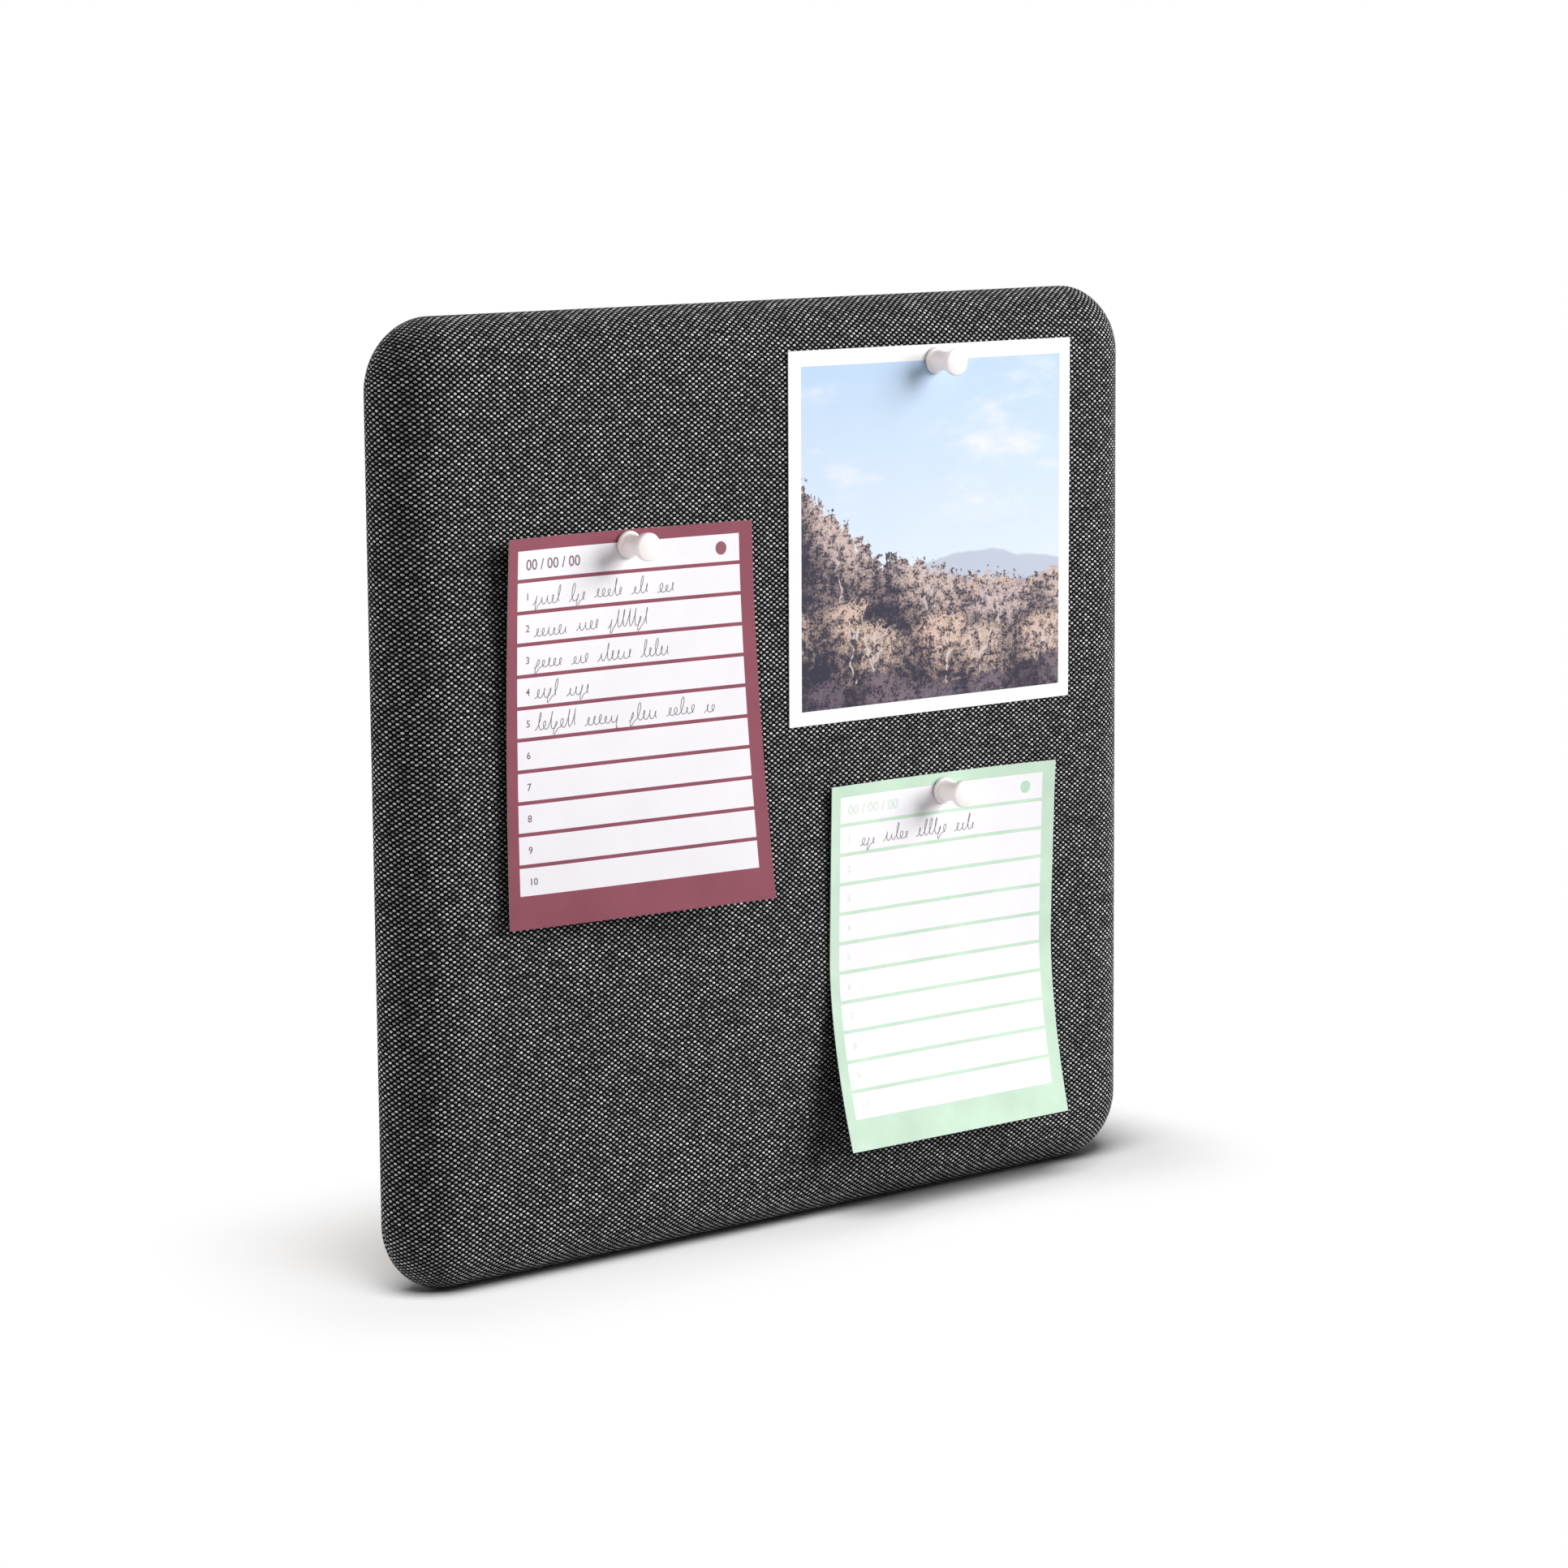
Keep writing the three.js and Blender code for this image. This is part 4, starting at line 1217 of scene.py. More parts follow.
@dataclass
class WovenCover:
    """The cloth, pulled over the front and the rounded edges and stapled behind."""

    shape: BoardShape
    staples: list[tuple[Vector, Vector]]
    flat: Pair = (0.0, 0.0)
    thickness: float = 1.0
    hem_inset: float = 22.0
    hem_steps: int = 8
    flat_step: float = 2.0
    fineness: int = 3
    corner_steps: int = 36
    side_steps: int = 60
    pleats: int = 3
    pleat_rise: float = 1.1
    pleat_lean: float = 1.5
    puff_rise: float = 0.3
    puff_end: float = 0.75
    staple_reach: float = 3.5

    def hem_rise(self, station: Station, x: float, z: float, travel: float) -> float:
        """Says how far the folded cloth stands off the back: pleats in the corners, flat under staples.

        Args:
            station: The place on the way round.
            x, z: The place on the back.
            travel: The share of the way from the board's side to the hem's cut edge.

        Returns:
            The rise, in millimetres.
        """
        within = (station.turn / QUARTER_TURN) % 1.0 if station.share == 0 else 0.0
        fold = (within * self.pleats) % 1.0
        pleat = self.pleat_rise * fold**self.pleat_lean * math.sin(math.pi * within) ** 0.5 * travel
        nearest = min(self.staple_distance(x, z, staple) for staple in self.staples)
        puff = self.puff_rise * (1 - math.exp(-((nearest / self.staple_reach) ** 2)))
        return pleat + puff * math.sin(math.pi * min(travel, self.puff_end))

    def staple_distance(self, x: float, z: float, staple: tuple[Vector, Vector]) -> float:
        """Returns how far a place on the back lies from a staple's crown."""
        low, high = staple
        return math.hypot(max(low.x - x, x - high.x, 0.0), max(low.z - z, z - high.z, 0.0))

    def fold(self, at: int, stations: list[Station]) -> Station:
        """Returns the place that a station's cloth folds about: its pleat's middle, or itself on a side."""
        corner, step = divmod(at, self.corner_steps + self.side_steps)
        if not 0 < step < self.corner_steps:
            return stations[at]
        pleat = min(step * self.pleats // self.corner_steps, self.pleats - 1)
        return replace(stations[at], turn=QUARTER_TURN * (corner + (pleat + 0.5) / self.pleats))

    def paths(self) -> tuple[list[Pair], list[Pair]]:
        """Returns the cloth's outer and inner section, from the flat front to the hem's cut edge."""
        found = []
        for offset in (0.0, self.thickness):
            section = self.shape.section(offset, offset, self.fineness)
            start = section[0]
            section.insert(0, (start[0] + self.flat_step, start[1]))
            last = section[-1]
            for step in range(1, self.hem_steps + 1):
                share = step / self.hem_steps
                section.append((last[0] + (self.hem_inset - last[0]) * share, last[1]))
            found.append(section)
        return found[0], found[1]

    def travel(self, path: list[Pair]) -> list[float]:
        """Returns how far along the cloth each point of a section lies from the front's flat."""
        lengths = [0.0]
        for before, after in zip(path, path[1:]):
            lengths.append(lengths[-1] + math.dist(before, after))
        return [length - self.flat_step for length in lengths]

    def build(self) -> bpy.types.Object:
        """Makes the cloth as a closed skin, and keeps each vertex's place on the flat cloth."""
        outer, inner = self.paths()
        travelled = self.travel(outer)
        stations = self.shape.stations(self.corner_steps, self.side_steps)
        folds = [self.fold(at, stations) for at in range(len(stations))]
        front_inset = outer[1][0]
        hem_start = len(outer) - self.hem_steps - 1
        pleat_start = min(range(1, len(outer)), key=lambda level: outer[level][0]) + 1

        def spread(station: Station, level: int) -> Vector:
            """Returns the flat cloth's place under a station of the front or the side."""
            return Vector(self.shape.at(station, front_inset)) + Vector(station.normal()) * travelled[level]

        def pleated(station: Station, fold: Station, level: int) -> Vector:
            """Returns the flat cloth's place behind the side, where it lies in unstretched pleats."""
            out = Vector(fold.normal())
            inset, inset_before = outer[level][0], outer[level - 1][0]
            step = Vector(self.shape.at(station, inset)) - Vector(self.shape.at(fold, inset))
            slope = (inset - inset_before) / (travelled[level] - travelled[level - 1])
            return spread(fold, level) + step - out * ((1 + slope) * step.dot(out))

        points: list[Point] = []
        places: list[Point] = []
        levels = [*enumerate(outer), *reversed(list(enumerate(inner)))]
        for level, (inset, y) in levels:
            for station, fold in zip(stations, folds):
                x, z = self.shape.at(station, inset)
                rise = 0.0
                if level > hem_start:
                    rise = self.hem_rise(station, x, z, (level - hem_start) / self.hem_steps)
                place = pleated(station, fold, level) if level >= pleat_start else spread(station, level)
                points.append((x, y + rise, z))
                places.append((*(place if level > 0 else (x, z)), 0.0))
        faces = skin_faces(len(levels), len(stations))
        piece = link("woven_cover", new_mesh("woven_cover", points, faces, math.radians(60)))
        store_place(piece, CLOTH_PLACE, places)
        grown = travelled[-1] - front_inset
        self.flat = (2 * (self.shape.half_width + grown), 2 * (self.shape.half_height + grown))
        return piece

    def dress(self, piece: bpy.types.Object) -> None:
        """Gives the cloth its weave and its body, and works out its cut size in metres, which is not kept."""
        seat(piece, WEAVE, "board", "weave", "fabric_cover")
        tuple(side * MM for side in self.flat)


@dataclass
class FoamLayer:
    """The pad under the cover, round the front and down the sides."""

    shape: BoardShape
    offset: float = 1.3
    thickness: float = 3.0
    stop: float = 3.0
    fineness: int = 2
    corner_steps: int = 12
    side_steps: int = 4

    def path(self, offset: float) -> list[Pair]:
        """Returns the section of one face, down to where the foam stops."""
        section = self.shape.section(offset, offset, self.fineness)
        before_stop = [point for point in section if point[1] < -self.stop]
        inset, depth = before_stop[-1]
        front = [point for point in before_stop if point[1] < depth]
        return [*front, (inset, -self.stop)]

    def build(self) -> bpy.types.Object:
        """Makes the pad as a closed shell, open to the back."""
        path = [*self.path(self.offset), *reversed(self.path(self.offset + self.thickness))]
        stations = self.shape.stations(self.corner_steps, self.side_steps)
        points = []
        for inset, y in path:
            for station in stations:
                x, z = self.shape.at(station, inset)
                points.append((x, y, z))
        return link("foam_layer", new_mesh("foam_layer", points, skin_faces(len(path), len(stations))))

    def dress(self, piece: bpy.types.Object) -> None:
        """Gives the foam its finish and its body."""
        seat(piece, FOAM, "board", "foam", "foam_pad")


@dataclass
class Backing:
    """The core, the mitred rails and the back panel, whose solids stay and get their finishes."""

    edge_break: float = 0.25
    rails: dict[str, WoodFinish] = field(
        default_factory=lambda: {
            "frame_rail_top": PINE_ACROSS,
            "frame_rail_bottom": PINE_ACROSS,
            "frame_rail_left": PINE_UPRIGHT,
            "frame_rail_right": PINE_UPRIGHT,
        }
    )

    def dress(self) -> None:
        """Dresses each node of the backing."""
        nodes = frame["nodes"]
        dress(nodes["core_board"], FIBREBOARD)
        log.info("core_board keeps its solid")
        for name, finish in {"back_panel": HARDBOARD, **self.rails}.items():
            dress(nodes[name], finish)
            soften(nodes[name], self.edge_break)
            log.info("%s keeps its solid", name)


# Fasteners


@dataclass
class Screw:
    """A countersunk screw with a cross recess."""

    head_radius: float = 2.8
    head_height: float = 1.4
    rim: float = 0.15
    shank_radius: float = 1.3
    length: float = 7.0
    tip: float = 1.3
    tip_share: float = 0.2
    tip_flat: float = 0.1
    cross_length: float = 3.1
    cross_width: float = 0.75
    cross_depth: float = 0.75
    cross_taper: float = 0.45
    steps: int = 40

    def profile(self) -> list[Pair]:
        """Returns radius and height from the tip to the head's face, with the heights towards the front."""
        return [
            (0.0, self.length),
            (self.shank_radius * self.tip_share, self.length - self.tip_flat),
            (self.shank_radius, self.length - self.tip),
            (self.shank_radius, self.head_height),
            (self.head_radius, self.rim),
            (self.head_radius - self.rim / 2, 0.0),
            (0.0, 0.0),
        ]

    def cutter(self, half_x: float, half_z: float) -> bpy.types.Object:
        """Makes one bar of the recess, which narrows towards its floor.

        Args:
            half_x, half_z: Half the bar's size at the head's face.

        Returns:
            The bar.
        """
        points = []
        for y, share in ((1.0, 1.0), (-self.cross_depth, self.cross_taper)):
            for x, z in ((-1, -1), (1, -1), (1, 1), (-1, 1)):
                points.append((x * (half_x * share), y, z * (half_z * share)))
        sides = [(0, 1, 2, 3), (7, 6, 5, 4), (0, 4, 5, 1), (1, 5, 6, 2), (2, 6, 7, 3), (3, 7, 4, 0)]
        return link("recess", new_mesh("recess", points, sides))

    def mesh(self) -> bpy.types.Mesh:
        """Returns the screw's mesh, with its head's face at zero depth."""
        body = link("screw_body", new_mesh("screw_body", *lathe(self.profile(), self.steps)))
        long, wide = self.cross_length / 2, self.cross_width / 2
        cutters = [self.cutter(long, wide), self.cutter(wide, long)]
        for cutter in cutters:
            cut = body.modifiers.new("recess", "BOOLEAN")
            cut.operation = "DIFFERENCE"
            cut.object = cutter
            cut.solver = "EXACT"
        return settle(baked(body, *cutters), math.radians(30))


@dataclass
class Hanger:
    """A keyhole plate: a wide eye below a narrow neck."""

    width: float = 14.0
    length: float = 44.0
    thickness: float = 1.4
    eye_radius: float = 5.0
    neck_width: float = 5.0
    neck_length: float = 13.0
    eye_drop: float = 5.0
    screw_inset: float = 5.0
    screw_mouth: float = 3.0
    edge: float = 0.15
    fineness: int = 24
    weld_reach: float = 1e-6

    def loops(self) -> list[list[Pair]]:
        """Returns the plate's outline, its keyhole and its screw holes about its middle."""
        end = self.length / 2 - self.width / 2
        outline = arc((0.0, end), self.width / 2, 0.0, math.pi, self.fineness)
        outline += arc((0.0, -end), self.width / 2, math.pi, FULL_TURN, self.fineness)
        start = math.acos(self.neck_width / 2 / self.eye_radius)
        eye = (0.0, -self.eye_drop)
        keyhole = arc(eye, self.eye_radius, math.pi - start, FULL_TURN + start, self.fineness)
        top = (0.0, self.neck_length - self.eye_drop)
        keyhole += arc(top, self.neck_width / 2, 0.0, math.pi, self.fineness // 2)
        reach = self.length / 2 - self.screw_inset
        holes = []
        for height in (reach, -reach):
            holes.append(arc((0.0, height), self.screw_mouth, 0.0, FULL_TURN, self.fineness)[:-1])
        return [outline, keyhole, *holes]

    def mesh(self) -> bpy.types.Mesh:
        """Returns the plate's mesh, with rounded edges, lying in X and Z about its middle."""
        curve = bpy.data.curves.new("hanger_outline", "CURVE")
        curve.dimensions = "2D"
        curve.fill_mode = "BOTH"
        curve.extrude = (self.thickness / 2 - self.edge) * MM
        curve.bevel_depth = self.edge * MM
        curve.bevel_resolution = 2
        curve.offset = -self.edge * MM
        for loop in self.loops():
            spline = curve.splines.new("POLY")
            spline.points.add(len(loop) - 1)
            spline.use_cyclic_u = True
            for point, (x, z) in zip(spline.points, loop):
                point.co = (x * MM, z * MM, 0.0, 1.0)
        mesh = baked(link("hanger_outline", curve))
        mesh.transform(Matrix.Rotation(QUARTER_TURN, 4, "X"))
        return settle(mesh, math.radians(50), self.weld_reach)


@dataclass
class Bumper:
    """A soft foot with a rounded rim and a shallow dome."""

    radius: float = 5.0
    height: float = 2.5
    round: float = 1.0
    foot_round: float = 0.1
    flat_share: float = 0.4
    steps: int = 48

    def mesh(self) -> bpy.types.Mesh:
        """Returns the bumper's mesh, standing on zero depth towards the wall."""
        rim = arc((self.radius - self.round, self.height - self.round), self.round, 0.0, QUARTER_TURN, 8)
        foot = [(0.0, 0.0), (self.radius - self.foot_round, 0.0), (self.radius, self.foot_round)]
        profile = [*foot, *rim, (self.radius * self.flat_share, self.height), (0.0, self.height)]
        return new_mesh("bumper_shape", *lathe([(radius, -height) for radius, height in profile], self.steps))


@dataclass
class Fasteners:
    """Hangers, screws, staples and bumpers at the places of their nodes."""

    sides: tuple[str, ...] = ("left", "right")
    ends: tuple[str, ...] = ("upper", "lower")
    panel_sides: tuple[str, ...] = ("top", "bottom", "left", "right")
    corners: tuple[str, ...] = ("top_left", "top_right", "bottom_left", "bottom_right")
    staple_names: tuple[str, ...] = tuple(f"hem_staple_{number:02d}" for number in range(1, 17))
    staple_round: float = 0.12
    seed: int = 5

    def copy(
        self,
        name: str,
        mesh: bpy.types.Mesh,
        node: str,
        finish: Finish,
        slot: str,
        depth: float,
        turn: float = 0.0,
    ) -> None:
        """Puts a copy of a mesh in a node's place.

        Args:
            name: The copy's name.
            mesh: The mesh.
            node: The node that it stands for.
            finish: Its finish.
            slot: The slot that its finish belongs to.
            depth: Where it is put between the node's front, at 0, and its back, at 1.
            turn: How far it is turned about its axis.
        """
        low, high = box_mm(node)
        y = low.y * (1 - depth) + high.y * depth
        place = Vector(((low.x + high.x) / 2, y, (low.z + high.z) / 2)) * MM
        piece = link(name, mesh.copy())
        piece.data.transform(Matrix.Translation(place) @ Matrix.Rotation(turn, 4, "Y"))
        seat(piece, finish, "board", slot, node)

    def build(self) -> None:
        """Makes and dresses every fastener."""
        rng = random.Random(self.seed)
        screw = Screw().mesh()
        names = [f"panel_screw_{side}" for side in self.panel_sides]
        names += [f"hanger_screw_{side}_{end}" for side in self.sides for end in self.ends]
        for node in names:
            turn = rng.uniform(0, QUARTER_TURN)
            self.copy(f"{node}_shape", screw, node, ZINC, "zinc_steel", 1.0, turn)
        plate = Hanger().mesh()
        for side in self.sides:
            self.copy(f"hanger_plate_{side}", plate, f"keyhole_hanger_{side}", ZINC, "zinc_steel", 0.5)
        bumper = Bumper().mesh()
        for corner in self.corners:
            self.copy(f"foot_{corner}", bumper, f"bumper_{corner}", RUBBER, "bumper_rubber", 0.0)
        for name in self.staple_names:
            staple = frame["nodes"][name]
            dress(staple, STAPLE_WIRE)
            soften(staple, self.staple_round)


@dataclass
class PushPin:
    """A turned plastic spool with a steel needle."""

    node: str
    body: str
    base_radius: float = 4.6
    head_radius: float = 4.7
    waist_radius: float = 3.3
    length: float = 12.2
    base_rim: float = 0.9
    head_rim: float = 1.9
    rim_round: float = 0.6
    head_dome: float = 0.5
    waist_share: float = 0.44
    needle_radius: float = 0.6
    needle_length: float = 10.5
    needle_tip: float = 2.4
    needle_bulge: float = 0.8
    needle_socket: float = 5.0
    steps: int = 64

    def spool_profile(self) -> list[Pair]:
        """Returns radius and height from the base to the head's middle."""
        rim_top = self.length - self.head_dome
        low_radius, low = self.base_radius - self.rim_round, self.base_rim + self.rim_round
        high_radius, high = self.head_radius - self.rim_round, rim_top - self.head_rim - self.rim_round
        thin = self.waist_radius
        waist = low + (high - low) * self.waist_share
        lower = [(low_radius, low), ((low_radius + thin) / 2, low), (thin, (low + waist) / 2), (thin, waist)]
        upper = [(thin, (high + waist) / 2), ((high_radius + thin) / 2, high), (high_radius, high)]
        soft = self.rim_round / 3
        under = (high_radius, rim_top - self.head_rim)
        over = (high_radius, rim_top - self.rim_round)
        profile = [(0.0, 0.0), (self.base_radius - soft, 0.0), (self.base_radius, soft)]
        profile += arc((low_radius, self.base_rim), self.rim_round, 0.0, QUARTER_TURN, 6)[:-1]
        profile += bezier(lower, 14) + bezier([lower[-1], *upper], 14)[1:]
        profile += arc(under, self.rim_round, -QUARTER_TURN, 0.0, 6)[1:]
        profile += arc(over, self.rim_round, 0.0, QUARTER_TURN, 6)
        for share in (0.8, 0.6, 0.4, 0.2):
            profile.append((high_radius * share, rim_top + self.head_dome * (1 - share**2)))
        return [*profile, (0.0, self.length)]

    def needle_profile(self) -> list[Pair]:
        """Returns radius and height from the tip to the end inside the spool."""
        taper = [(0.0, -self.needle_length)]
        for share in (0.1, 0.3, 0.6, 1.0):
            height = self.needle_tip * share - self.needle_length
            taper.append((self.needle_radius * share**self.needle_bulge, height))
        return [*taper, (self.needle_radius, self.needle_socket), (0.0, self.needle_socket)]

    def turned(self, name: str, profile: list[Pair], steps: int) -> bpy.types.Object:
        """Makes a turned piece at the pin's place.

        Args:
            name: The piece's name.
            profile: Radius and height of each point, from the pin's base.
            steps: How many points go round.

        Returns:
            The piece.
        """
        low, high = box_mm(self.node)
        place = ((low.x + high.x) / 2, high.y, (low.z + high.z) / 2)
        points, faces = lathe(profile, steps)
        points = [tuple(value + step for value, step in zip(point, place)) for point in points]
        return link(name, new_mesh(name, points, faces))

    def build(self) -> tuple[bpy.types.Object, bpy.types.Object]:
        """Makes the spool and the needle."""
        spool = self.turned(f"{self.body}_spool", self.spool_profile(), self.steps)
        point = self.turned(f"{self.body}_point", self.needle_profile(), self.steps // 2)
        return spool, point

    def dress(self, spool: bpy.types.Object, point: bpy.types.Object) -> None:
        """Gives the spool and the needle their finishes and their body."""
        seat(spool, PIN_PLASTIC, self.body, "pin_plastic", self.node)
        seat(point, NEEDLE_STEEL, self.body, "needle_steel", f"{self.node}_needle")


# Sheets


@dataclass
class Curl:
    """How far a sheet's corners stand off the cover, and where its curl starts."""

    top_left: float = 0.0
    top_right: float = 0.0
    bottom_left: float = 0.0
    bottom_right: float = 0.0
    start_share: float = 0.0
    power: float = 2.0
    corner_power: float = 2.0

    def lift(self, across: float, down: float) -> float:
        """Returns how far the sheet stands off at shares across and down."""
        outward = (2 * across - 1) ** 2
        top = (self.top_left if across < 0.5 else self.top_right) * outward * (1 - down) ** self.corner_power
        curl = max(0.0, (down - self.start_share) / (1 - self.start_share)) ** self.power
        return top + curl * (self.bottom_left + (self.bottom_right - self.bottom_left) * across)


@dataclass
class Sheet:
    """A pinned sheet of paper, curved as its curl says and as long on the curve as it is flat."""

    name: str
    node: str
    body: str
    slot: str
    pin_node: str
    finish: Finish
    width: float
    height: float
    thickness: float
    pin_across: float
    pin_down: float
    turn: float
    curl: Curl
    gap: float = 0.3
    columns: int = 36
    rows: int = 44

    def __post_init__(self) -> None:
        """Works out the pin's place and the curved grid of the sheet's back face."""
        low, high = box_mm(self.pin_node)
        self.pin_x, self.pin_z = (low.x + high.x) / 2, (low.z + high.z) / 2
        self.back_y = box_mm("fabric_cover")[0].y - self.gap
        self.grid = self.curved_grid()

    def curved_grid(self) -> list[list[Point]]:
        """Returns points of the back face about the pin, as far apart as on the flat sheet."""
        step_x, step_z = self.width / self.columns, self.height / self.rows
        grid: list[list[Point]] = []
        for row in range(self.rows + 1):
            line: list[Point] = []
            x = -self.pin_across
            for column in range(self.columns + 1):
                lift = self.curl.lift(column / self.columns, row / self.rows)
                if column > 0:
                    x += math.sqrt(max(step_x**2 - (lift - line[-1][1]) ** 2, 0.0))
                z = self.pin_down
                if row > 0:
                    above = grid[row - 1][column]
                    z = above[2] - math.sqrt(max(step_z**2 - (lift - above[1]) ** 2, 0.0))
                line.append((x, lift, z))
            grid.append(line)
        return grid

    def seated(self, x: float, lift: float, z: float) -> Point:
        """Turns a point about the pin and puts it on the board."""
        turn = math.radians(self.turn)
        along, up = x * math.cos(turn) + z * math.sin(turn), z * math.cos(turn) - x * math.sin(turn)
        return (self.pin_x + along, self.back_y - lift, self.pin_z + up)

    def cell(self, place: float, length: float, count: int) -> tuple[int, float]:
        """Returns the grid step that a place along a side lies in, and how far along the step it is."""
        steps = min(max(place / length, 0.0), 0.9999) * count
        return int(steps), steps - int(steps)

    def on_front(self, across: float, down: float, lift: float) -> Point:
        """Returns the place of a point of the flat sheet's front on the curved one.

        Args:
            across, down: The place on the flat sheet, from its upper left corner.
            lift: How far in front of the paper it lies.

        Returns:
            The place on the board.
        """
        i, s = self.cell(across, self.width, self.columns)
        j, t = self.cell(down, self.height, self.rows)
        corners = [(self.grid[j][i], (1 - s) * (1 - t)), (self.grid[j][i + 1], s * (1 - t))]
        corners += [(self.grid[j + 1][i], (1 - s) * t), (self.grid[j + 1][i + 1], s * t)]
        x, depth, z = (sum(point[axis] * weight for point, weight in corners) for axis in (0, 1, 2))
        return self.seated(x, depth + self.thickness + lift, z)

    def rim(self) -> list[int]:
        """Returns the numbers of the grid's outer points, once round."""
        across = self.columns + 1
        return [
            *range(self.columns),
            *(row * across + self.columns for row in range(self.rows)),
            *(self.rows * across + column for column in range(self.columns, 0, -1)),
            *(row * across for row in range(self.rows, 0, -1)),
        ]

    def build(self) -> bpy.types.Object:
        """Makes the sheet as a thin closed solid, and keeps each vertex's place on the flat sheet."""
        points: list[Point] = []
        places: list[Point] = []
        for depth, side in ((0.0, 1.0), (self.thickness, 0.0)):
            for row, line in enumerate(self.grid):
                for column, (x, lift, z) in enumerate(line):
                    points.append(self.seated(x, lift + depth, z))
                    places.append((self.width * column / self.columns, self.height * row / self.rows, side))
        across = self.columns + 1
        front = len(points) // 2
        faces = []
        for row in range(self.rows):
            for column in range(self.columns):
                for a in (row * across + column, front + row * across + column):
                    faces.append((a, a + 1, a + across + 1, a + across))
        rim = self.rim()
        for a, b in zip(rim, [*rim[1:], rim[0]]):
            faces.append((a, b, front + b, front + a))
        piece = link(self.name, new_mesh(self.name, points, faces))
        store_place(piece, PAPER_PLACE, places)
        return piece

    def dress(self, piece: bpy.types.Object) -> None:
        """Gives the sheet its print and its body."""
        seat(piece, self.finish, self.body, self.slot, self.node)


@dataclass
class Lines:
    """Thin closed shapes of ink that follow a sheet's curve."""

    sheet: Sheet
    rise: float = 0.03
    boldness: float = 0.012
    weld_reach: float = 1e-7

    def place(self, piece: bpy.types.Object, finish: InkFinish) -> None:
        """Gives the ink its finish and the sheet's body."""
        seat(piece, finish, self.sheet.body, self.sheet.slot)

    def ribbons(self, name: str, strokes: list[list[Pair]], width: float, finish: InkFinish) -> None:
        """Draws strokes, each a run of places on the flat sheet.

        Args:
            name: The piece's name.
            strokes: The strokes.
            width: How wide they are.
            finish: The ink.
        """
        points: list[Point] = []
        faces: list[Face] = []
        for stroke in strokes:
            start = len(points)
            for at, (across, down) in enumerate(stroke):
                before, after = stroke[max(at - 1, 0)], stroke[min(at + 1, len(stroke) - 1)]
                run = math.dist(before, after) or 1.0
                side_x = (after[1] - before[1]) / run * width / 2
                side_z = -(after[0] - before[0]) / run * width / 2
                for lift in (self.rise, -self.rise):
                    points.append(self.sheet.on_front(across + side_x, down + side_z, lift))
                    points.append(self.sheet.on_front(across - side_x, down - side_z, lift))
            end = len(points) - 4
            for a in range(start, end, 4):
                b = a + 4
                faces += [(a, a + 1, b + 1, b), (a + 3, a + 2, b + 2, b + 3)]
                faces += [(a + 1, a + 3, b + 3, b + 1), (a + 2, a, b, b + 2)]
            faces += [(start, start + 2, start + 3, start + 1), (end, end + 1, end + 3, end + 2)]
        self.place(link(name, new_mesh(name, points, faces)), finish)

    def figures(self, name: str, labels: list[tuple[str, float, float, float]], finish: InkFinish) -> None:
        """Prints figures in the plain built-in face.

        Args:
            name: The piece's name.
            labels: Text, left end, foot line and height of each, on the flat sheet.
            finish: The ink.
        """
        points: list[Point] = []
        faces: list[Face] = []
        for text, left, foot, height in labels:
            curve = bpy.data.curves.new("figure", "FONT")
            curve.body = text
            curve.extrude = self.rise
            curve.offset = self.boldness
            curve.resolution_u = 3
            mesh = baked(link("figure", curve))
            scale = height / max(vertex.co.y for vertex in mesh.vertices)
            start = len(points)
            for vertex in mesh.vertices:
                x, y, z = vertex.co
                points.append(self.sheet.on_front(left + x * scale, foot - y * scale, z))
            faces += [tuple(start + corner for corner in face.vertices) for face in mesh.polygons]
        self.place(link(name, new_mesh(name, points, faces, math.radians(30), self.weld_reach)), finish)


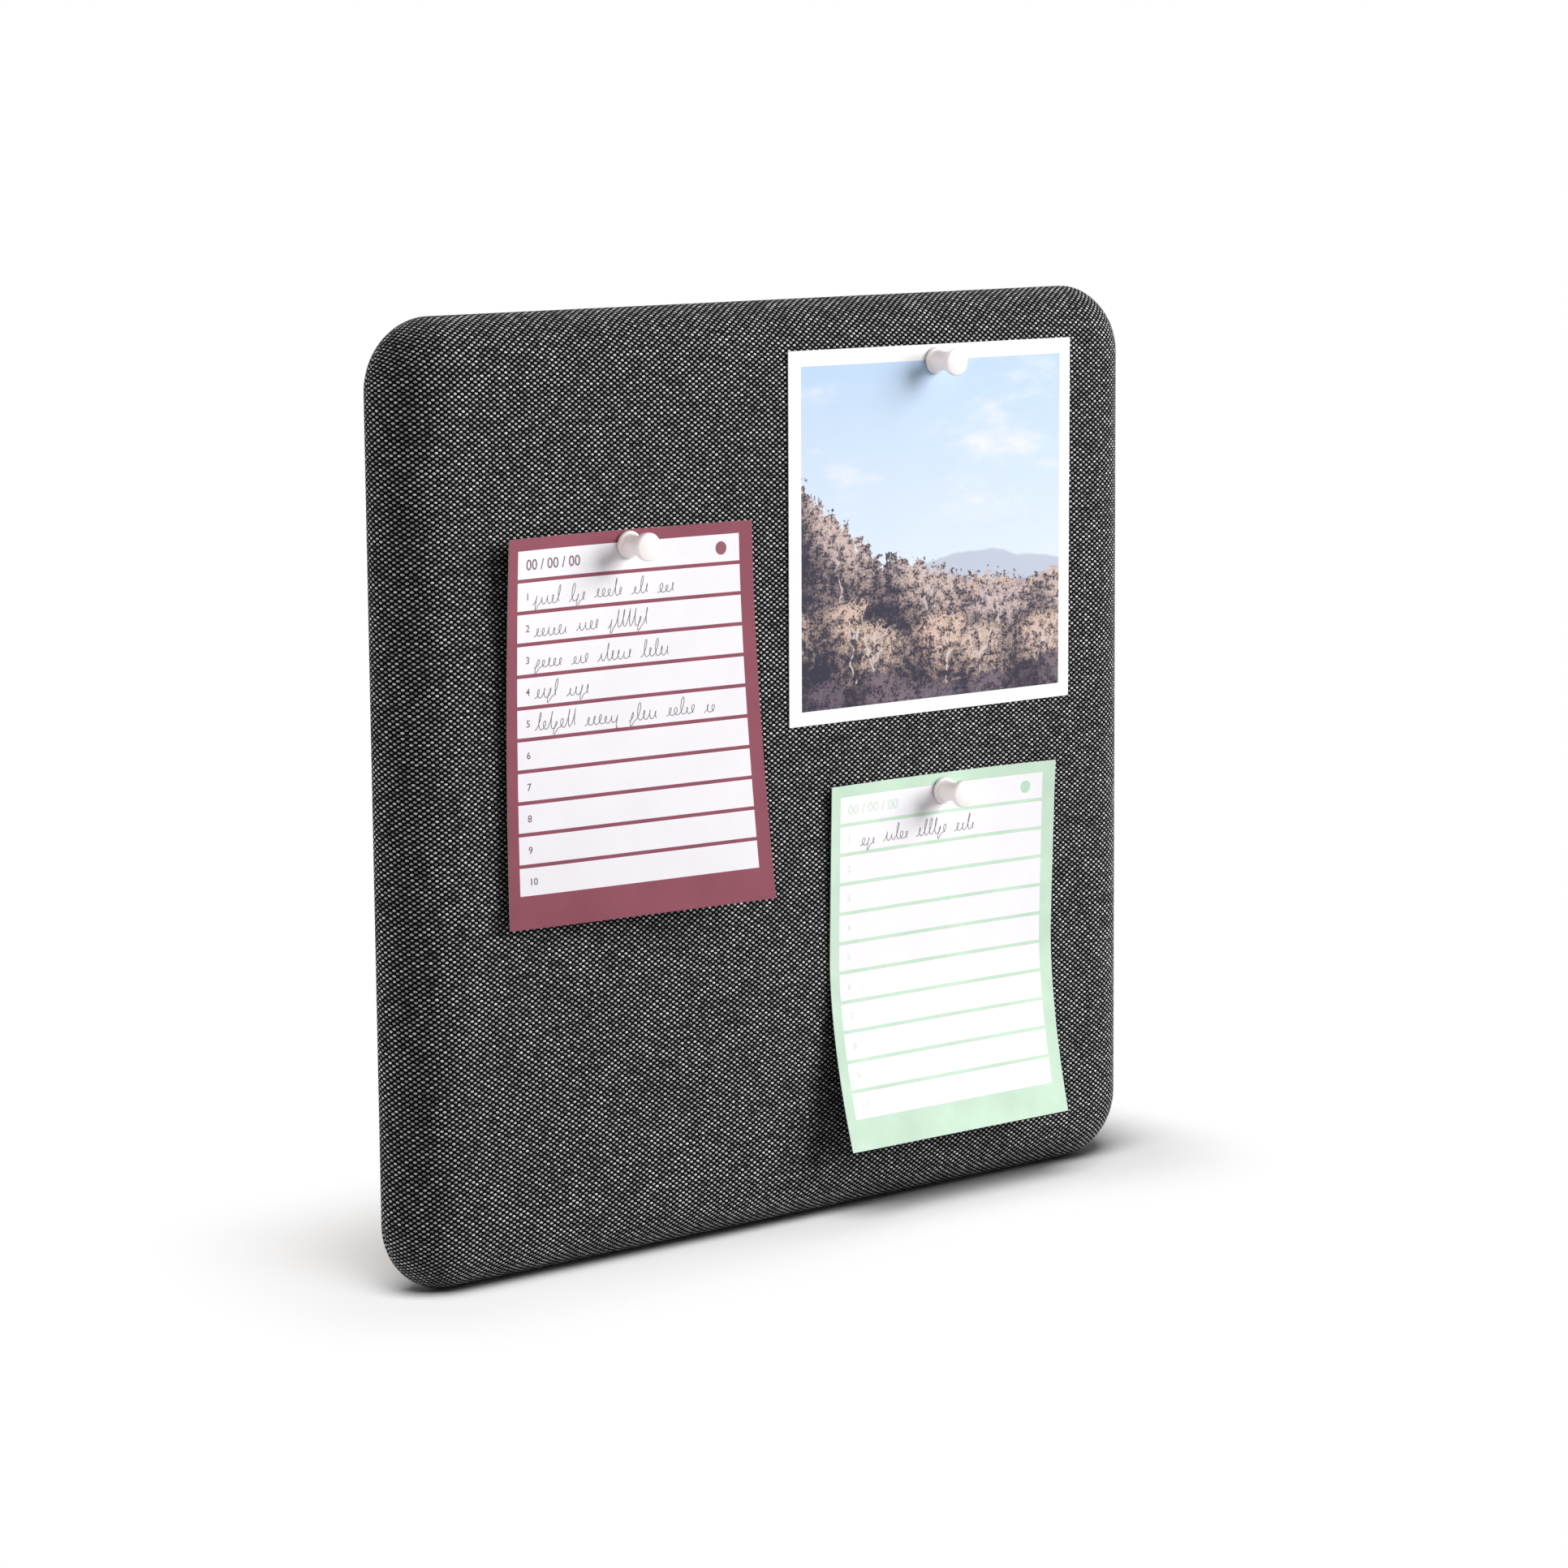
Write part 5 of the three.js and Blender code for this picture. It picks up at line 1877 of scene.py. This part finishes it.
@dataclass
class Form:
    """What is printed and written on a note: row numbers, a date line, a round mark and pen strokes."""

    sheet: Sheet
    figure_finish: InkFinish
    mark_finish: InkFinish
    written: list[tuple[int, float, float]]
    seed: int
    layout: FormLayout = FormLayout()
    figure_height: float = 2.3
    figure_indent: float = 3.5
    date_height: float = 3.5
    mark_radius: float = 2.1
    mark_indent: float = 7.5
    mark_rings: tuple[float, ...] = (0.95, 0.75, 0.55, 0.35, 0.15)
    mark_line_share: float = 0.26
    pen_width: float = 0.28
    pen_foot: float = 1.9
    letter_step: float = 2.3
    letter_height: float = 2.9
    word_gap: float = 1.6
    slant: float = 0.25

    def row_top(self, row: float) -> float:
        """Returns how far down the sheet a row starts, with the first as row 0."""
        layout = self.layout
        return layout.top + layout.header + layout.rule + row * layout.pitch

    def word(self, rng: random.Random, start: float, letters: int, foot: float) -> list[Pair]:
        """Returns one run of loops and humps that spells nothing.

        Args:
            rng: The source of chance.
            start: The word's left end.
            letters: How many humps it has.
            foot: The line that it stands on.

        Returns:
            Places along the stroke.
        """
        stroke = []
        for letter in range(letters):
            tall = rng.random() < 0.2
            hangs = not tall and rng.random() < 0.16
            height = self.letter_height * (2.0 if tall else rng.uniform(0.75, 1.1))
            loop = self.letter_step * rng.uniform(0.15, 0.5)
            for step in range(12):
                share = step / 12
                rise = height * (0.5 - 0.5 * math.cos(FULL_TURN * share))
                if hangs and share > 0.5:
                    rise -= self.letter_height * math.sin(FULL_TURN * (share - 0.5))
                along = start + self.letter_step * (letter + share) + loop * math.sin(FULL_TURN * share)
                stroke.append((along + rise * self.slant, foot - rise))
        return stroke

    def writing(self) -> list[list[Pair]]:
        """Returns the pen strokes of every written row."""
        rng = random.Random(self.seed)
        layout = self.layout
        box = self.sheet.width - layout.left - layout.right
        strokes = []
        for row, start_share, end_share in self.written:
            along = layout.left + box * start_share
            end = layout.left + box * end_share
            foot = self.row_top(row) + layout.pitch - layout.rule - self.pen_foot
            while along < end - 2 * self.letter_step:
                letters = min(rng.randint(3, 7), int((end - along) / self.letter_step))
                strokes.append(self.word(rng, along, max(letters, 2), foot + rng.uniform(-0.3, 0.3)))
                along += self.letter_step * (letters + self.word_gap)
        return strokes

    def labels(self) -> list[tuple[str, float, float, float]]:
        """Returns the row numbers and the date line: text, left end, foot line and height of each."""
        layout = self.layout
        left = layout.left + self.figure_indent
        middle = (layout.pitch - layout.rule + self.figure_height) / 2
        found = []
        for row in range(layout.rows):
            found.append((str(row + 1), left, self.row_top(row) + middle, self.figure_height))
        date_foot = layout.top + (layout.header + self.date_height) / 2
        return [*found, ("00 / 00 / 00", left, date_foot, self.date_height)]

    def build(self) -> None:
        """Prints and writes on the sheet."""
        layout = self.layout
        lines = Lines(self.sheet)
        name = self.sheet.name
        lines.figures(f"{name}_figures", self.labels(), self.figure_finish)
        centre = (self.sheet.width - layout.right - self.mark_indent, layout.top + layout.header / 2)
        rings = [arc(centre, self.mark_radius * share, 0.0, FULL_TURN, 28) for share in self.mark_rings]
        ring_width = self.mark_radius * self.mark_line_share
        lines.ribbons(f"{name}_mark", rings, ring_width, self.mark_finish)
        lines.ribbons(f"{name}_writing", self.writing(), self.pen_width, PEN)


# The studio


class Falls(Enum):
    """The pieces that a lamp's light is linked to, and whether they alone get it or all but they."""

    OFF_FLOOR = (("floor",), "EXCLUDE")
    ON_FLOOR = (("floor",), "INCLUDE")
    ON_PINS = (("left_pin_spool", "lower_pin_spool", "upper_pin_spool"), "INCLUDE")


@dataclass
class Lamp:
    """A square soft light that looks at the board's middle."""

    name: str
    place: Point
    size: float
    level: float
    falls: Falls = Falls.OFF_FLOOR
    colour: Point = (1.0, 1.0, 1.0)

    def build(self, target: Vector) -> None:
        """Hangs the lamp, with its power worked out so that a white face shows its level from any distance.

        Args:
            target: Where it looks.
        """
        away = Vector(self.place) - target
        light = bpy.data.lights.new(self.name, "AREA")
        light.shape = "SQUARE"
        light.size = self.size
        light.energy = self.level * math.pi**2 * away.length**2
        light.color = self.colour
        lamp = link(self.name, light)
        lamp.location = self.place
        lamp.rotation_euler = (-away).to_track_quat("-Z", "Y").to_euler()
        names, state = self.falls.value
        receivers = bpy.data.collections.new(f"{self.name}_receivers")
        for name in names:
            receivers.objects.link(bpy.data.objects[name])
        for entry in receivers.collection_objects:
            entry.light_linking.link_state = state
        lamp.light_linking.receiver_collection = receivers


@dataclass
class Studio:
    """A plain pale floor under soft light, and the camera at the photograph's angle.

    Its lengths are in metres.
    """

    camera_place: Point = (-0.9142, -1.1604, 0.2331)
    camera_turn: float = 38.646
    camera_tilt: float = -8.209
    camera_roll: float = -0.446
    picture_side: float = 1932.0
    focal_pixels: float = 5370.9
    shift_share: float = -0.05
    sensor: float = 36.0
    clip: Pair = (0.05, 100.0)
    ambient: float = 0.1
    floor_radius: float = 30.0
    floor_colour: Colour = (0.94, 0.94, 0.945, 1.0)
    floor_roughness: float = 0.9
    footprint: Pair = (0.14, -0.011)
    bounce: Colour = (0.55, 0.55, 0.55, 1.0)
    shadow_reach: float = 0.02
    white_reach: float = 0.075
    behind_share: float = 0.5
    lamps: tuple[Lamp, ...] = (
        Lamp("key_light", (1.92, -1.67, 1.08), 1.8, 1.36),
        Lamp("side_light", (-2.26, 1.0, 0.43), 1.0, 0.52),
        Lamp("back_light", (0.5, 1.9, 1.7), 1.2, 0.6),
        Lamp("pin_light", (-2.1, -0.9, 1.0), 1.2, 0.34, Falls.ON_PINS, (1.0, 0.92, 0.94)),
        Lamp("floor_light", (-0.75, -0.75, 1.75), 1.6, 1.25, Falls.ON_FLOOR),
    )

    def camera(self) -> None:
        """Sets up the camera."""
        turn, tilt, roll = (math.radians(a) for a in (self.camera_turn, self.camera_tilt, self.camera_roll))
        forward = Vector((math.sin(turn) * math.cos(tilt), math.cos(turn) * math.cos(tilt), math.sin(tilt)))
        right = Vector((math.cos(turn), -math.sin(turn), 0.0))
        up = right.cross(forward)
        rolled_right = right * math.cos(roll) + up * math.sin(roll)
        rolled_up = up * math.cos(roll) - right * math.sin(roll)
        data = bpy.data.cameras.new("camera")
        data.sensor_width = self.sensor
        data.lens = self.focal_pixels / self.picture_side * self.sensor
        data.shift_y = self.shift_share
        data.clip_start, data.clip_end = self.clip
        camera = link("camera", data)
        axes = Matrix((rolled_right, rolled_up, -forward)).transposed()
        camera.matrix_world = Matrix.Translation(self.camera_place) @ axes.to_4x4()
        bpy.context.scene.camera = camera

    def seen(self, graph: Graph) -> Value:
        """Returns 1 for what the camera sees, straight, in gloss or through glass."""
        path = graph.node("ShaderNodeLightPath", {})
        straight = graph.out(path, "Is Camera Ray")
        return (straight + graph.out(path, "Is Glossy Ray") + graph.out(path, "Is Transmission Ray")).held()

    def world(self) -> None:
        """Makes the world white to look at and softer as a light."""
        world = bpy.data.worlds.new("studio")
        world.use_nodes = True
        graph = Graph(world.node_tree)
        strength = graph.blend(self.seen(graph), self.ambient, 1.0)
        graph.fill(world.node_tree.nodes["Background"], {"Color": WHITE, "Strength": strength})
        bpy.context.scene.world = world

    def off_board(self, graph: Graph) -> Value:
        """Returns how far a place on the floor lies from the board, where the way behind it counts less."""
        x, y, _ = graph.parts(graph.object_place())
        half_width, middle = self.footprint
        beside = graph.math("MAXIMUM", abs(x) - half_width, 0.0)
        ahead = middle - y
        across = graph.math("MAXIMUM", ahead, ahead * -self.behind_share)
        step = graph.join(beside, across)
        return graph.out(graph.node("ShaderNodeVectorMath", {0: step}, operation="LENGTH"), "Value")

    def floor_material(self) -> bpy.types.Material:
        """Returns the floor's material, which keeps the shadow near the board and is white further off."""
        material = bpy.data.materials.new("pale_floor")
        material.use_nodes = True
        nodes = material.node_tree.nodes
        graph = Graph(material.node_tree)
        seen = self.seen(graph)
        graph.fill(nodes["Principled BSDF"], {
            "Base Color": graph.mix(seen, self.bounce, self.floor_colour),
            "Roughness": self.floor_roughness,
            "Specular IOR Level": 0.0,
        })
        white = graph.lay("ShaderNodeEmission", {"Color": WHITE, "Strength": 1.0})
        far = self.off_board(graph).remap(self.shadow_reach, self.white_reach, smooth=True)
        shadowed = graph.out(nodes["Principled BSDF"])
        mixed = graph.lay("ShaderNodeMixShader", {0: far * seen, 1: shadowed, 2: white})
        graph.fill(nodes["Material Output"], {"Surface": mixed})
        return material

    def floor(self, height: float) -> None:
        """Lays the floor.

        Args:
            height: How high it lies, in metres.
        """
        shape = bmesh.new()
        bmesh.ops.create_circle(shape, cap_ends=True, segments=96, radius=self.floor_radius)
        mesh = bpy.data.meshes.new("floor")
        shape.to_mesh(mesh)
        shape.free()
        mesh.materials.append(self.floor_material())
        floor = link("floor", mesh)
        floor.location = (0.0, 0.0, height)

    def build(self) -> None:
        """Sets up the whole studio."""
        bpy.context.scene.view_settings.view_transform = "Standard"
        low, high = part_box("fabric_cover")
        self.world()
        self.floor(low.z)
        for lamp in self.lamps:
            lamp.build((low + high) / 2)
        self.camera()
        log.info("the studio is set up")


def build_board() -> None:
    """Builds the board: foam, cover, backing and fasteners."""
    low, high = box_mm("fabric_cover")
    shape = BoardShape((high.x - low.x) / 2, (high.z - low.z) / 2)
    fasteners = Fasteners()
    foam = FoamLayer(shape)
    foam.dress(foam.build())
    cover = WovenCover(shape, [box_mm(name) for name in fasteners.staple_names])
    cover.dress(cover.build())
    Backing().dress()
    fasteners.build()


def build_sheets() -> None:
    """Builds the sheets with what is on them, and the pins that hold them."""
    note = {"width": 101.6, "height": 127.0, "thickness": 0.3, "turn": 0.4}
    maroon = Sheet(
        name="maroon_note_paper", node="maroon_note_sheet", body="maroon_note", slot="maroon_paper",
        finish=MAROON_PAPER, **note, pin_node="push_pin_left", pin_across=50.3, pin_down=4.9,
        curl=Curl(top_left=4.6, top_right=0.8, bottom_left=2.7, bottom_right=13.6, power=1.6),
    )
    mint = Sheet(
        name="mint_note_paper", node="mint_note_sheet", body="mint_note", slot="mint_paper",
        finish=MINT_PAPER, **note, pin_node="push_pin_lower", pin_across=51.2, pin_down=6.1,
        curl=Curl(1.6, 3.0, 13.0, 10.8, start_share=0.48, power=1.6),
    )
    picture = Sheet(
        name="photo_print_paper", node="photo_print", body="print", slot="photo_paper",
        finish=PHOTO_PAPER, width=127.2, height=127.2, thickness=0.35, turn=0.3,
        pin_node="push_pin_upper", pin_across=64.6, pin_down=5.6, curl=Curl(),
    )
    for sheet in (maroon, mint, picture):
        sheet.dress(sheet.build())
    rows = [(0, 0.07, 0.71), (1, 0.075, 0.62), (2, 0.075, 0.74), (3, 0.075, 0.34), (4, 0.075, 0.87)]
    Form(maroon, GREY_PRINT, MAROON_PRINT, rows, seed=7).build()
    Form(mint, PALE_PRINT, MINT_PRINT, [(0, 0.1, 0.73)], seed=19).build()
    for place in ("left", "lower", "upper"):
        pin = PushPin(f"push_pin_{place}", f"{place}_pin")
        pin.dress(*pin.build())


def main() -> None:
    """Builds the board, the sheets with their pins, and the studio."""
    logging.basicConfig(level=logging.INFO, format="%(name)s: %(message)s")
    build_board()
    build_sheets()
    Studio().build()


if __name__ == "__main__":
    main()
